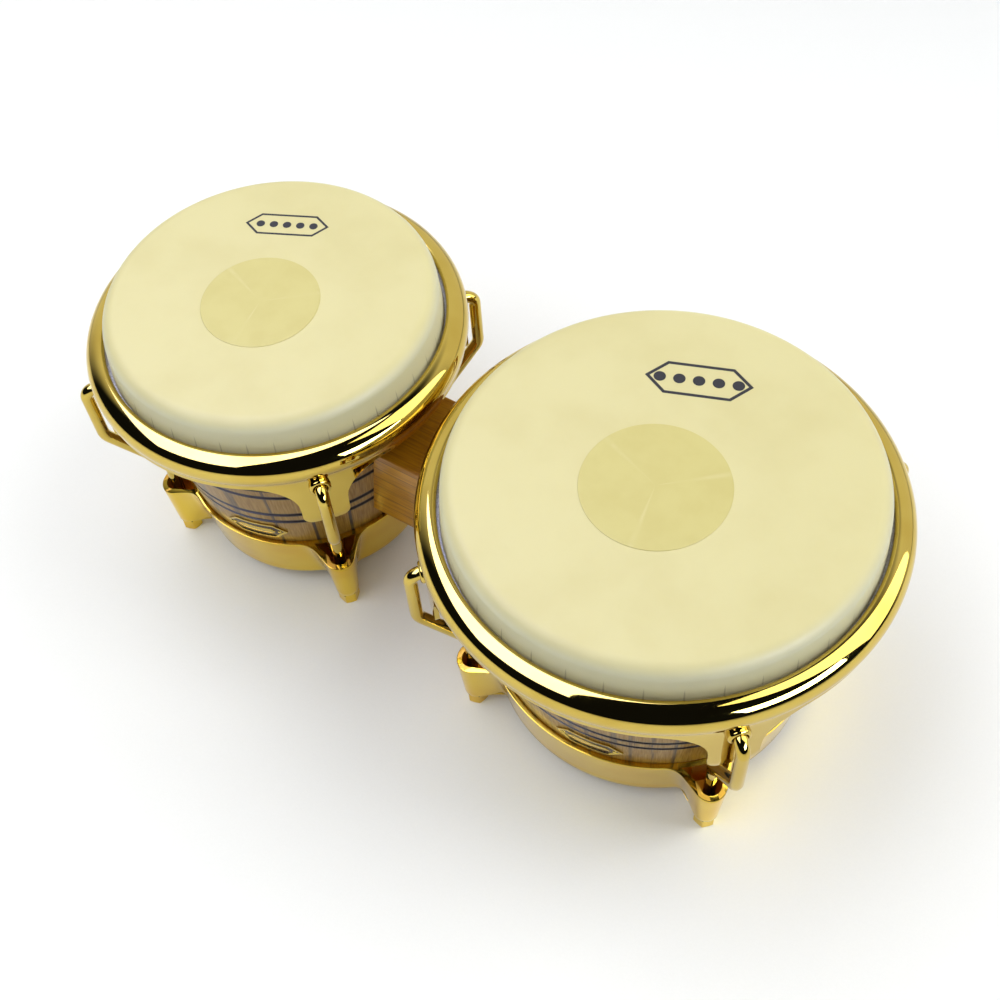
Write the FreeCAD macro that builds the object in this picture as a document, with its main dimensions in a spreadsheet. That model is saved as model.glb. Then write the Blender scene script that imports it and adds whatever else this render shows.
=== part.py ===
import FreeCAD, Part
import math
import os
import Sketcher

# A pair of bongo drums joined by a wooden block.
# Millimetres, +Z up. The origin is on the floor, under the middle of the whole pair.
# The small drum stands at -X and the large drum at +X. Both heads are level.
# Each drum stands on its four tuning nuts, which hang below the ears of the bottom ring.
# A drum's own frame has its axis on Z and one tuning point on +X, and is then turned and moved.

# --- driving dimensions -----------------------------------------------------------------------

DIMENSIONS = {
    "head_height": 183.5,         # playing surface above the floor
    "drum_spacing": 241.0,        # between the two drum axes
    "small_head_radius": 92.0,    # outside of the film's collar
    "large_head_radius": 109.5,
    "small_foot_radius": 68.0,    # outside of the shell at its lower end
    "large_foot_radius": 86.5,
    "small_shaft_reach": 84.6,    # drum axis to the threaded end of a hook
    "large_shaft_reach": 104.2,
    "small_turn": 48.0,           # first tuning point, degrees from +X
    "large_turn": 45.0,
    "small_patch_radius": 32.5,
    "large_patch_radius": 37.3,
    "small_patch_shift": 7.5,     # patches are laid by hand, a little to the player's side
    "large_patch_shift": 9.0,
    "small_badge_turn": 284.0,
    "large_badge_turn": 277.0,
    "shell_wall": 10.5,
    "shell_foot": 15.5,           # lower end of the shell above the floor
    "edge_round": 7.4,            # rounding of the shell's bearing edge
    "edge_land": 2.0,             # flat of the bearing edge
    "edge_bevel": 6.0,
    "groove_width": 1.8,
    "groove_depth": 1.0,
    "film_thickness": 0.4,
    "crown_round": 7.8,
    "collar_flare": 1.4,
    "collar_depth": 24.0,         # playing surface down to the flesh hoop
    "hoop_width": 5.2,
    "hoop_height": 6.0,
    "patch_thickness": 0.35,
    "rim_bore": 2.6,              # rim bore beyond the collar's radius
    "rim_top": 17.5,              # playing surface down to the top of the rim
    "rim_round": 10.0,            # radius of the rim's shoulder
    "rim_reach": 14.5,            # outermost rim beyond the collar's radius
    "skirt_reach": 12.8,          # outside of the skirt beyond the collar's radius
    "skirt_wall": 3.0,
    "arch_depth": 36.5,           # playing surface down to the top of a scallop
    "tab_depth": 71.0,            # playing surface down to the end of a tab
    "arch_round": 17.0,
    "tab_half_width": 13.0,
    "boss_depth": 40.0,           # playing surface down to a hook's hole
    "boss_radius": 6.0,
    "boss_height": 2.6,
    "rod_radius": 3.5,
    "rod_clearance": 0.08,
    "boss_clearance": 0.25,
    "hook_reach": 20.5,           # hook's vertical run beyond the collar's radius
    "hook_bend": 6.5,
    "hook_drop": 80.0,            # playing surface down to the start of the hook's jog
    "jog_slope": 1.4,             # fall of the jog for each millimetre inwards
    "jog_bend": 12.0,
    "rod_foot": 3.5,              # hook's end above the floor
    "ring_top": 49.5,             # bottom ring, heights above the floor
    "ring_foot": 12.5,
    "ring_wall": 3.0,
    "ring_lip": 7.0,
    "ear_foot": 10.0,
    "ear_half_width": 16.0,
    "ear_tip_radius": 9.6,
    "ear_foot_half_width": 8.4,
    "ear_foot_tip_radius": 6.9,
    "ear_wall": 3.0,
    "ear_floor": 19.5,            # floor of the ear's pocket above the floor
    "ear_mouth_fall": 6.0,        # how much lower the pocket's lip is than the ring's top
    "washer_radius": 6.4,
    "washer_thickness": 1.2,
    "nut_flats": 11.0,            # across flats
    "badge_length": 38.0,
    "badge_height": 15.0,
    "badge_middle": 62.5,         # above the floor
    "badge_thickness": 1.0,
    "block_half_width": 27.0,
    "block_foot": 61.5,
    "block_top": 121.5,
    "bolt_radius": 4.0,
    "bolt_low": 75.5,             # bolt axes above the floor
    "bolt_high": 107.5,
    "bolt_flats": 13.0,
    "bolt_head": 5.5,
    "saddle_width": 26.0,
    "saddle_foot": 63.5,
    "saddle_top": 119.5,
    "saddle_thickness": 5.0,
}

GROOVE_DEPTHS = (70.0, 79.0, 100.0, 108.5)   # groove middles below the playing surface
TUNING_POINTS = 4
FIT = 0.05                                   # gap between pieces that are fitted together

doc = FreeCAD.newDocument("BongoDrums")
sheet = doc.addObject("Spreadsheet::Sheet", "Dims")
for row, (alias, amount) in enumerate(DIMENSIONS.items(), start=1):
    sheet.set(f"A{row}", alias)
    sheet.set(f"B{row}", str(amount))
    sheet.setAlias(f"B{row}", alias)
doc.recompute()


class Size:
    """A number together with the formula that gives it from the sheet."""

    def __init__(self, value, formula):
        self.value = value
        self.formula = formula

    @staticmethod
    def of(other):
        return other if isinstance(other, Size) else Size(float(other), repr(float(other)))

    def __add__(self, other):
        other = Size.of(other)
        return Size(self.value + other.value, f"({self.formula} + {other.formula})")

    def __sub__(self, other):
        other = Size.of(other)
        return Size(self.value - other.value, f"({self.formula} - {other.formula})")

    def __mul__(self, other):
        other = Size.of(other)
        return Size(self.value * other.value, f"({self.formula} * {other.formula})")

    def __truediv__(self, other):
        other = Size.of(other)
        return Size(self.value / other.value, f"({self.formula} / {other.formula})")

    def __neg__(self):
        return Size(-self.value, f"(-1 * {self.formula})")


def dim(alias):
    """The Size of one cell of the sheet."""
    return Size(DIMENSIONS[alias], f"Dims.{alias}")


def bind(item, path, size):
    """Tie one property of a document object to its formula."""
    item.setExpression(path, Size.of(size).formula)


# --- sketches ---------------------------------------------------------------------------------

START, END, CENTRE = 1, 2, 3      # a sketch edge's points, as constraints number them
ORIGIN = (-1, 1)


def plane(body, role):
    return next(item for item in body.Origin.OriginFeatures if item.Role == role)


def new_sketch(body, name, role, offset=None, turn=0.0):
    """A sketch on one of its body's own planes, moved along the normal or turned about Z."""
    sketch = body.newObject("Sketcher::SketchObject", name)
    sketch.AttachmentSupport = [(plane(body, role), "")]
    sketch.MapMode = "FlatFace"
    sketch.AttachmentOffset = FreeCAD.Placement(
        FreeCAD.Vector(), FreeCAD.Rotation(FreeCAD.Vector(0, 1, 0), turn))
    if offset is not None:
        bind(sketch, "AttachmentOffset.Base.z", offset)
    return sketch


def hold(sketch, edge, point, x, y):
    """Fix one point of an edge at its distances from the sketch's origin."""
    for kind, size in (("DistanceX", Size.of(x)), ("DistanceY", Size.of(y))):
        index = sketch.addConstraint(Sketcher.Constraint(kind, *ORIGIN, edge, point, size.value))
        bind(sketch, f"Constraints[{index}]", size)


def arc_between(first, last, radius, side):
    """The arc from first to last with its centre on one side, and which of its ends is first."""
    chord = last - first
    across = FreeCAD.Vector(-chord.y, chord.x, 0).normalize()
    height = math.sqrt(max(radius ** 2 - (chord.Length / 2) ** 2, 0.0))
    centre = (first + last) * 0.5 + across * (height * side)
    circle = Part.Circle(centre, FreeCAD.Vector(0, 0, 1), radius)
    angles = [math.atan2(p.y - centre.y, p.x - centre.x) for p in (first, last)]
    if side < 0:
        angles.reverse()
    return Part.ArcOfCircle(circle, *angles), (START, END) if side > 0 else (END, START)


def draw(sketch, points, closed=True):
    """Join points by edges. A point is (x, y), or (x, y, radius, side) where an arc leads to it.

    side is 1 when the arc's centre lies to the left of the way along it, and -1 to the right.
    """
    spots = [FreeCAD.Vector(Size.of(p[0]).value, Size.of(p[1]).value, 0) for p in points]
    order = list(range(1, len(points))) + ([0] if closed else [])
    ends = []
    for last in order:
        point = points[last]
        if len(point) == 2:
            edge = sketch.addGeometry(Part.LineSegment(spots[last - 1], spots[last]))
            ends.append((edge, START, END))
        else:
            radius = Size.of(point[2])
            arc, (first_end, last_end) = arc_between(
                spots[last - 1], spots[last], radius.value, point[3])
            edge = sketch.addGeometry(arc)
            index = sketch.addConstraint(Sketcher.Constraint("Radius", edge, radius.value))
            bind(sketch, f"Constraints[{index}]", radius)
            ends.append((edge, first_end, last_end))
        hold(sketch, edge, ends[-1][2], point[0], point[1])
    pairs = list(zip(ends, ends[1:] + ends[:1])) if closed else list(zip(ends, ends[1:]))
    for (edge, _, tail), (following, head, _) in pairs:
        sketch.addConstraint(Sketcher.Constraint("Coincident", edge, tail, following, head))
    if not closed:
        hold(sketch, ends[0][0], ends[0][1], points[0][0], points[0][1])
    return sketch


def draw_circle(sketch, x, y, radius):
    radius = Size.of(radius)
    middle = FreeCAD.Vector(Size.of(x).value, Size.of(y).value, 0)
    edge = sketch.addGeometry(Part.Circle(middle, FreeCAD.Vector(0, 0, 1), radius.value))
    index = sketch.addConstraint(Sketcher.Constraint("Radius", edge, radius.value))
    bind(sketch, f"Constraints[{index}]", radius)
    hold(sketch, edge, CENTRE, x, y)
    return sketch


# --- features ---------------------------------------------------------------------------------

subparts = []


def new_body(label, drum, turn=0.0, listed=True):
    """An empty body that stands on the drum's axis, turned about it."""
    body = doc.addObject("PartDesign::Body", label)
    body.Label = label
    body.Placement = FreeCAD.Placement(
        FreeCAD.Vector(), FreeCAD.Rotation(FreeCAD.Vector(0, 0, 1), 1.0))
    bind(body, "Placement.Base.x", drum.axis_x)
    bind(body, "Placement.Rotation.Angle", turn)
    if listed:
        subparts.append(body)
    return body


def revolve(body, points, name="Section"):
    """Turn a closed outline in the XZ plane about Z."""
    section = draw(new_sketch(body, name, "XZ_Plane"), points)
    turned = body.newObject("PartDesign::Revolution", "Turned" + name)
    turned.Profile = section
    turned.ReferenceAxis = (section, ["V_Axis"])
    turned.Angle = 360.0
    body.Tip = turned
    return turned


def pad(body, sketch, length, both_ways=False, reverse=False):
    feature = body.newObject("PartDesign::Pad", "Pad" + sketch.Name)
    feature.Profile = sketch
    bind(feature, "Length", length)
    feature.Midplane = both_ways
    feature.Reversed = reverse
    body.Tip = feature
    return feature


def pocket(body, sketch, length, both_ways=False, reverse=False):
    feature = body.newObject("PartDesign::Pocket", "Cut" + sketch.Name)
    feature.Profile = sketch
    bind(feature, "Length", length)
    feature.Midplane = both_ways
    feature.Reversed = reverse
    body.Tip = feature
    return feature


def loft(body, kind, sketches):
    feature = body.newObject(f"PartDesign::{kind}Loft", kind + sketches[0].Name)
    feature.Profile = sketches[0]
    feature.Sections = sketches[1:]
    feature.Ruled = True
    body.Tip = feature
    return feature


def repeat_round(body, features):
    """Repeat features at every tuning point."""
    pattern = body.newObject("PartDesign::PolarPattern", "AllRound" + features[0].Name)
    pattern.Originals = features
    pattern.Axis = (plane(body, "Z_Axis"), [""])
    pattern.Angle = 360.0
    pattern.Occurrences = TUNING_POINTS
    body.Tip = pattern
    return pattern


class Drum:
    """One drum's sizes, place and shared curves."""

    def __init__(self, name):
        self.name = name
        self.head = dim(f"{name}_head_radius")
        self.foot = dim(f"{name}_foot_radius")
        self.shaft = dim(f"{name}_shaft_reach")
        self.turn = dim(f"{name}_turn")
        small_edge = dim("small_head_radius") + dim("rim_reach")
        large_edge = dim("large_head_radius") + dim("rim_reach")
        if name == "small":
            self.axis_x = (small_edge - large_edge - dim("drum_spacing")) / 2
        else:
            self.axis_x = (small_edge - large_edge + dim("drum_spacing")) / 2
        self.edge_top = dim("head_height") - dim("film_thickness")
        self.side_top = self.edge_top - dim("edge_round")
        self.side_radius = self.head - 0.8
        self.slope = (self.side_radius - self.foot) / (self.side_top - dim("shell_foot"))
        self.inner_top = self.edge_top - dim("edge_bevel")
        self.inner_slope = (self.side_radius - self.foot) / (self.inner_top - dim("shell_foot"))

    def shell_radius(self, height):
        """Outside of the tapered shell at a height above the floor."""
        return self.foot + self.slope * (Size.of(height) - dim("shell_foot"))

    def inner_radius(self, height):
        """Inside of the tapered shell at a height above the floor."""
        return self.foot - dim("shell_wall") + self.inner_slope * (
            Size.of(height) - dim("shell_foot"))

    def label(self, piece):
        return f"{self.name}_{piece}"


def below_head(alias):
    return dim("head_height") - dim(alias)


def root(size):
    """Square root of a Size."""
    return Size(math.sqrt(size.value), f"sqrt({size.formula})")


# --- shells and heads -------------------------------------------------------------------------


def make_shell(drum, block_side):
    """Tapered shell with turned grooves and two bolt holes; block_side turns +X to the block."""
    body = new_body(drum.label("shell"), drum, turn=block_side)
    outline = [(drum.foot, dim("shell_foot"))]
    for depth in reversed(GROOVE_DEPTHS):
        low = dim("head_height") - depth - dim("groove_width") / 2
        high = low + dim("groove_width")
        outline += [
            (drum.shell_radius(low), low),
            (drum.shell_radius(low) - dim("groove_depth"), low),
            (drum.shell_radius(high) - dim("groove_depth"), high),
            (drum.shell_radius(high), high),
        ]
    land = drum.side_radius - dim("edge_round")
    outline += [
        (drum.side_radius, drum.side_top),
        (land, drum.edge_top, dim("edge_round"), 1),
        (land - dim("edge_land"), drum.edge_top),
        (drum.side_radius - dim("shell_wall"), drum.inner_top),
        (drum.foot - dim("shell_wall"), dim("shell_foot")),
    ]
    revolve(body, outline)
    holes = new_sketch(body, "BoltHoles", "YZ_Plane", drum.head)
    for height in (dim("bolt_low"), dim("bolt_high")):
        draw_circle(holes, 0.0, height, dim("bolt_radius") + 0.3)
    pocket(body, holes, drum.head - drum.foot + dim("shell_wall") * 2)


def make_film(drum):
    """Head film: flat top, rounded crown and a slightly flared collar down to the hoop."""
    top = dim("head_height")
    thickness = dim("film_thickness")
    crown = dim("crown_round")
    foot = below_head("collar_depth")
    flared = drum.head + dim("collar_flare")
    revolve(new_body(drum.label("head_film"), drum), [
        (0.0, top),
        (0.0, top - thickness),
        (drum.head - crown, top - thickness),
        (drum.head - thickness, top - crown, crown - thickness, -1),
        (flared - thickness, foot),
        (flared, foot),
        (drum.head, top - crown),
        (drum.head - crown, top, crown, 1),
    ])


def make_flesh_hoop(drum):
    """Square-sectioned hoop that holds the film's lower edge, under the rim."""
    inside = drum.head + 0.4
    outside = inside + dim("hoop_width")
    top = below_head("collar_depth")
    foot = top - dim("hoop_height")
    revolve(new_body(drum.label("flesh_hoop"), drum),
            [(inside, foot), (outside, foot), (outside, top), (inside, top)])


def make_patch(drum):
    """Thin disc laid on the film."""
    patch = doc.addObject("Part::Cylinder", drum.label("centre_patch"))
    patch.Label = drum.label("centre_patch")
    bind(patch, "Radius", dim(f"{drum.name}_patch_radius"))
    bind(patch, "Height", dim("patch_thickness"))
    bind(patch, "Placement.Base.x", drum.axis_x)
    bind(patch, "Placement.Base.y", -dim(f"{drum.name}_patch_shift"))
    bind(patch, "Placement.Base.z", dim("head_height"))
    subparts.append(patch)


# --- rim and hooks ----------------------------------------------------------------------------


def make_rim(drum):
    """Rounded shoulder over the hoop and a skirt cut into four tabs with a hook boss on each."""
    body = new_body(drum.label("rim"), drum, turn=drum.turn)
    bore = drum.head + dim("rim_bore")
    crest = drum.head + dim("rim_reach") - dim("rim_round")
    skirt = drum.head + dim("skirt_reach")
    inside = skirt - dim("skirt_wall")
    top = below_head("rim_top")
    seat = below_head("collar_depth")
    widest = top - dim("rim_round")
    under = root(dim("rim_round") * dim("rim_round") - (skirt - crest) * (skirt - crest))
    tab_foot = below_head("tab_depth")
    revolve(body, [
        (bore, seat),
        (bore, top - (crest - bore)),
        (crest, top, crest - bore, -1),
        (drum.head + dim("rim_reach"), widest, dim("rim_round"), -1),
        (skirt, widest - under, dim("rim_round"), -1),
        (skirt, tab_foot),
        (inside, tab_foot),
        (inside, widest - 1.0),
        (bore + 4.0, seat),
    ])

    half_tab = dim("tab_half_width")
    half_arch = (root(skirt * skirt - half_tab * half_tab) - half_tab) * math.sqrt(0.5)
    arch_round = dim("arch_round")
    arch_top = below_head("arch_depth")
    arch_foot = tab_foot - 2.0
    arch = draw(new_sketch(body, "Arch", "XZ_Plane", turn=45.0), [
        (-half_arch, arch_foot),
        (half_arch, arch_foot),
        (half_arch, arch_top - arch_round),
        (half_arch - arch_round, arch_top, arch_round, 1),
        (-half_arch + arch_round, arch_top),
        (-half_arch, arch_top - arch_round, arch_round, 1),
    ])
    arch_cut = pocket(body, arch, skirt + 20.0)

    hole_height = below_head("boss_depth")
    boss = draw_circle(new_sketch(body, "Boss", "YZ_Plane", skirt - 1.0),
                       0.0, hole_height, dim("boss_radius"))
    boss_pad = pad(body, boss, dim("boss_height") + 1.0)
    hole = draw_circle(new_sketch(body, "HookHole", "YZ_Plane", skirt + dim("boss_height") + 1.0),
                       0.0, hole_height, dim("rod_radius") + dim("boss_clearance"))
    hole_cut = pocket(body, hole, dim("boss_height") + dim("skirt_wall") + 3.0)
    repeat_round(body, [arch_cut, boss_pad, hole_cut])


def make_hook(drum, number):
    """Bent rod: out of the boss, down outside the skirt, in by a jog, and down through an ear."""
    body = new_body(drum.label(f"hook_{number + 1}"), drum,
                    turn=drum.turn + number * 360.0 / TUNING_POINTS)
    out = drum.head + dim("hook_reach")
    slope = dim("jog_slope")
    slant = root(slope * slope + 1.0)
    reach = dim("jog_bend") * (slant - slope)       # corner of the jog to the end of its arc
    jog_top = below_head("hook_drop")
    jog_foot = jog_top - slope * (out - drum.shaft)
    across = reach / slant
    along = reach * slope / slant
    eye = below_head("boss_depth")
    bend = dim("hook_bend")
    path = draw(new_sketch(body, "RodPath", "XZ_Plane"), [
        (drum.shaft, dim("rod_foot")),
        (drum.shaft, jog_foot - reach),
        (drum.shaft + across, jog_foot + along, dim("jog_bend"), -1),
        (out - across, jog_top - along),
        (out, jog_top + reach, dim("jog_bend"), 1),
        (out, eye - bend),
        (out - bend, eye, bend, 1),
        (drum.head + dim("skirt_reach") - dim("skirt_wall") - 2.0, eye),
    ], closed=False)
    section = draw_circle(new_sketch(body, "RodSection", "XY_Plane", dim("rod_foot")),
                          drum.shaft, 0.0, dim("rod_radius"))
    rod = body.newObject("PartDesign::AdditivePipe", "Rod")
    rod.Profile = section
    rod.Spine = (path, [])
    body.Tip = rod


# --- bottom ring, nuts and washers ------------------------------------------------------------


def ear_outline(drum, inner, half_width, tip_radius):
    """Outline of an ear seen from above: two sides that run tangent into a round tip."""
    run = drum.shaft - inner
    reach_squared = run * run + half_width * half_width
    side_squared = reach_squared - tip_radius * tip_radius
    turned = root(side_squared) * tip_radius
    tip_x = inner + (run * side_squared + half_width * turned) / reach_squared
    tip_y = half_width + (run * turned - half_width * side_squared) / reach_squared
    return [
        (inner, -half_width),
        (tip_x, -tip_y),
        (tip_x, tip_y, tip_radius, 1),
        (inner, half_width),
    ]


def make_bottom_ring(drum):
    """Conical band round the shell's foot, with a lip under it and four hollow ears."""
    body = new_body(drum.label("bottom_ring"), drum, turn=drum.turn)
    top = dim("ring_top")
    shell_foot = dim("shell_foot")
    wall = dim("ring_wall")
    revolve(body, [
        (drum.shell_radius(top) + wall, top),
        (drum.shell_radius(top) + FIT, top),
        (drum.foot + FIT, shell_foot),
        (drum.foot - dim("ring_lip"), shell_foot),
        (drum.foot - dim("ring_lip"), dim("ring_foot")),
        (drum.foot + wall - 2.0, dim("ring_foot")),
        (drum.foot + wall, dim("ring_foot") + 2.0, 2.0, 1),
    ])

    def level(name, height, inset, inner):
        """A section of the ear, or of its pocket, at one height."""
        part_down = (top - height) / (top - dim("ear_foot"))
        half_width = dim("ear_half_width") - part_down * (
            dim("ear_half_width") - dim("ear_foot_half_width")) - inset * 1.2
        tip = dim("ear_tip_radius") - part_down * (
            dim("ear_tip_radius") - dim("ear_foot_tip_radius")) - inset
        sketch = new_sketch(body, name, "XY_Plane", height)
        return draw(sketch, ear_outline(drum, inner, half_width, tip))

    ear = loft(body, "Additive", [
        level("EarTop", top, 0.0, drum.shell_radius(top) + wall / 2),
        level("EarFoot", dim("ear_foot"), 0.0, drum.shell_radius(dim("ear_foot")) + wall / 2),
    ])
    hollow = loft(body, "Subtractive", [
        level("HollowTop", top, dim("ear_wall"), drum.shell_radius(top) + wall),
        level("HollowFoot", dim("ear_floor"), dim("ear_wall"),
              drum.shell_radius(dim("ear_floor")) + wall),
    ])
    tip = drum.shaft + dim("ear_tip_radius") + 1.0
    mouth = draw(new_sketch(body, "Mouth", "XZ_Plane"), [
        (drum.shell_radius(top) + wall, top),
        (tip, top - dim("ear_mouth_fall")),
        (tip, top + 1.0),
        (drum.shell_radius(top) + wall, top + 1.0),
    ])
    mouth_cut = pocket(body, mouth, dim("ear_half_width") * 3.0, both_ways=True)
    hole = draw_circle(new_sketch(body, "RodHole", "XY_Plane", dim("ear_floor") + 1.0),
                       drum.shaft, 0.0, dim("rod_radius") + dim("rod_clearance"))
    hole_cut = pocket(body, hole, dim("ear_floor") - dim("ear_foot") + 2.0)
    repeat_round(body, [ear, hollow, mouth_cut, hole_cut])


def make_nut(drum, number):
    """Tall hexagonal nut under an ear. The drum stands on its lower face."""
    body = new_body(drum.label(f"nut_{number + 1}"), drum,
                    turn=drum.turn + number * 360.0 / TUNING_POINTS)
    flat = dim("nut_flats") / 2
    corner = dim("nut_flats") / math.sqrt(3.0)
    section = draw(new_sketch(body, "Hexagon", "XY_Plane"), [
        (drum.shaft + corner, 0.0),
        (drum.shaft + corner / 2, flat),
        (drum.shaft - corner / 2, flat),
        (drum.shaft - corner, 0.0),
        (drum.shaft - corner / 2, -flat),
        (drum.shaft + corner / 2, -flat),
    ])
    draw_circle(section, drum.shaft, 0.0, dim("rod_radius") + dim("rod_clearance"))
    pad(body, section, dim("ear_foot") - dim("washer_thickness"))


def make_washers(drum):
    """Flat washers between the ears and the nuts."""
    body = new_body(drum.label("washers"), drum, turn=drum.turn)
    body.AllowCompound = True
    outside = new_sketch(body, "Washer", "XY_Plane",
                         dim("ear_foot") - dim("washer_thickness"))
    draw_circle(outside, drum.shaft, 0.0, dim("washer_radius"))
    draw_circle(outside, drum.shaft, 0.0, dim("rod_radius") + dim("boss_clearance"))
    repeat_round(body, [pad(body, outside, dim("washer_thickness"))])


# --- badges -----------------------------------------------------------------------------------


def make_badge(drum):
    """Plain six-sided plate that follows the shell, and the two pins that hold it."""
    turn = dim(f"{drum.name}_badge_turn")
    middle = dim("badge_middle")
    half_length = dim("badge_length") / 2
    half_height = dim("badge_height") / 2
    shoulder = half_length - half_height
    low = middle - half_height - 1.0
    high = middle + half_height + 1.0
    skin = new_body(drum.label("badge_skin"), drum, listed=False)
    revolve(skin, [
        (drum.shell_radius(low) + FIT, low),
        (drum.shell_radius(low) + dim("badge_thickness"), low),
        (drum.shell_radius(high) + dim("badge_thickness"), high),
        (drum.shell_radius(high) + FIT, high),
    ])
    block = new_body(drum.label("badge_block"), drum, turn=turn, listed=False)
    outline = draw(new_sketch(block, "Plate", "YZ_Plane"), [
        (-half_length, middle),
        (-shoulder, middle - half_height),
        (shoulder, middle - half_height),
        (half_length, middle),
        (shoulder, middle + half_height),
        (-shoulder, middle + half_height),
    ])
    pad(block, outline, drum.head)
    badge = boolean("Part::Common", drum.label("badge"), skin, block)
    subparts.append(badge)

    pins = new_body(drum.label("badge_pins"), drum, turn=turn)
    pins.AllowCompound = True
    outer = drum.shell_radius(middle) + dim("badge_thickness")
    heads = new_sketch(pins, "Pins", "YZ_Plane", outer - 5.0)
    for side in (-1.0, 1.0):
        draw_circle(heads, (half_length - 6.0) * side, middle, 1.1)
    pad(pins, heads, 4.3)


# --- centre block and its bolts ---------------------------------------------------------------


def primitive(kind, label, base, turn_to_x=False, **sizes):
    """A Part primitive at a base point, with its axis on Z or on X."""
    item = doc.addObject(f"Part::{kind}", label)
    item.Label = label
    if turn_to_x:
        item.Placement = FreeCAD.Placement(
            FreeCAD.Vector(), FreeCAD.Rotation(FreeCAD.Vector(0, 1, 0), 90.0))
    for axis, size in zip("xyz", base):
        bind(item, f"Placement.Base.{axis}", size)
    for name, size in sizes.items():
        bind(item, name, size)
    return item


def boolean(kind, label, base, tool):
    item = doc.addObject(kind, label)
    item.Label = label
    item.Base = base
    item.Tool = tool
    return item


def group(kind, label, items):
    item = doc.addObject(kind, label)
    item.Label = label
    if kind == "Part::Compound":
        item.Links = items
    else:
        item.Shapes = items
    return item


def bolt_holes(label, start, length, clearance):
    """Two cylinders along X on the bolt axes."""
    return [
        primitive("Cylinder", f"{label}_{number}", (start, 0.0, height), turn_to_x=True,
                  Radius=dim("bolt_radius") + clearance, Height=length)
        for number, height in enumerate((dim("bolt_low"), dim("bolt_high")), start=1)
    ]


def make_block(small, large):
    """Wooden block whose ends are hollowed to sit against both shells."""
    foot = dim("block_foot")
    height = dim("block_top") - foot
    box = primitive("Box", "block_blank", (small.axis_x, -dim("block_half_width"), foot),
                    Length=dim("drum_spacing"), Width=dim("block_half_width") * 2, Height=height)
    tools = [
        primitive("Cone", drum.label("shell_outside"), (drum.axis_x, 0.0, foot - 1.0),
                  Radius1=drum.shell_radius(foot - 1.0) + FIT,
                  Radius2=drum.shell_radius(foot + height + 1.0) + FIT,
                  Height=height + 2.0)
        for drum in (small, large)
    ]
    tools += bolt_holes("block_hole", small.axis_x, dim("drum_spacing"), 0.3)
    waste = group("Part::MultiFuse", "block_waste", tools)
    subparts.append(boolean("Part::Cut", "centre_block", box, waste))


def saddle_face(drum):
    """Distance from a drum's axis to the flat face of its saddle plate."""
    return drum.inner_radius(dim("saddle_foot")) - dim("saddle_thickness")


def make_saddle(drum, side):
    """Plate with a flat face for the bolts and a back that follows the shell's inside."""
    foot = dim("saddle_foot")
    top = dim("saddle_top")
    length = drum.inner_radius(top) - saddle_face(drum)
    start = saddle_face(drum) if side > 0 else -(saddle_face(drum) + length)
    blank = primitive("Box", drum.label("saddle_blank"),
                      (drum.axis_x + start, -dim("saddle_width") / 2, foot),
                      Length=length, Width=dim("saddle_width"), Height=top - foot)
    air = primitive("Cone", drum.label("shell_inside"), (drum.axis_x, 0.0, foot - 1.0),
                    Radius1=drum.inner_radius(foot - 1.0) - FIT,
                    Radius2=drum.inner_radius(top + 1.0) - FIT,
                    Height=top - foot + 2.0)
    solid = boolean("Part::Common", drum.label("saddle_solid"), blank, air)
    holes = group("Part::MultiFuse", drum.label("saddle_holes"),
                  bolt_holes(drum.label("saddle_hole"), drum.axis_x + start - 1.0,
                             length + 2.0, 0.3))
    subparts.append(boolean("Part::Cut", drum.label("saddle"), solid, holes))


def make_bolts(small, large):
    """Two hexagon bolts from inside the small drum to nuts inside the large one."""
    head = dim("bolt_head")
    corner = dim("bolt_flats") / math.sqrt(3.0)
    head_face = small.axis_x + saddle_face(small)
    nut_face = large.axis_x - saddle_face(large)
    reach = nut_face + head + 3.0 - head_face
    shanks = bolt_holes("bolt_shank", head_face, reach, 0.0)
    bores = bolt_holes("bolt_nut_bore", nut_face - 1.0, head + 2.0, 0.05)
    bolts, nuts = [], []
    for number, height in enumerate((dim("bolt_low"), dim("bolt_high"))):
        cap = primitive("Prism", f"bolt_cap_{number}", (head_face - head, 0.0, height),
                        turn_to_x=True, Circumradius=corner, Height=head)
        bolts.append(boolean("Part::Fuse", f"bolt_{number}", cap, shanks[number]))
        blank = primitive("Prism", f"bolt_nut_blank_{number}", (nut_face, 0.0, height),
                          turn_to_x=True, Circumradius=corner, Height=head)
        nuts.append(boolean("Part::Cut", f"bolt_nut_{number}", blank, bores[number]))
    subparts.append(group("Part::Compound", "block_bolts", bolts))
    subparts.append(group("Part::Compound", "block_bolt_nuts", nuts))


# --- the whole object -------------------------------------------------------------------------


def check_and_write():
    """Stop on any failed object or bad shape, then write one file for each sub-part."""
    doc.recompute()
    failed = [item.Label for item in doc.Objects
              if "Invalid" in item.State or "Error" in item.State]
    if failed:
        raise RuntimeError(f"failed objects: {failed}")
    os.makedirs("parts", exist_ok=True)
    for item in subparts:
        shape = item.Shape
        if shape.isNull() or not shape.isValid():
            raise RuntimeError(f"{item.Label} has a bad shape")
        shape.exportStep(os.path.join("parts", f"{item.Label}.step"))
        box = shape.BoundBox
        print(f"{item.Label:22s} solids {len(shape.Solids)}  volume {shape.Volume:10.0f}  "
              f"x {box.XMin:7.1f} {box.XMax:7.1f}  y {box.YMin:7.1f} {box.YMax:7.1f}  "
              f"z {box.ZMin:6.1f} {box.ZMax:6.1f}")


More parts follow.
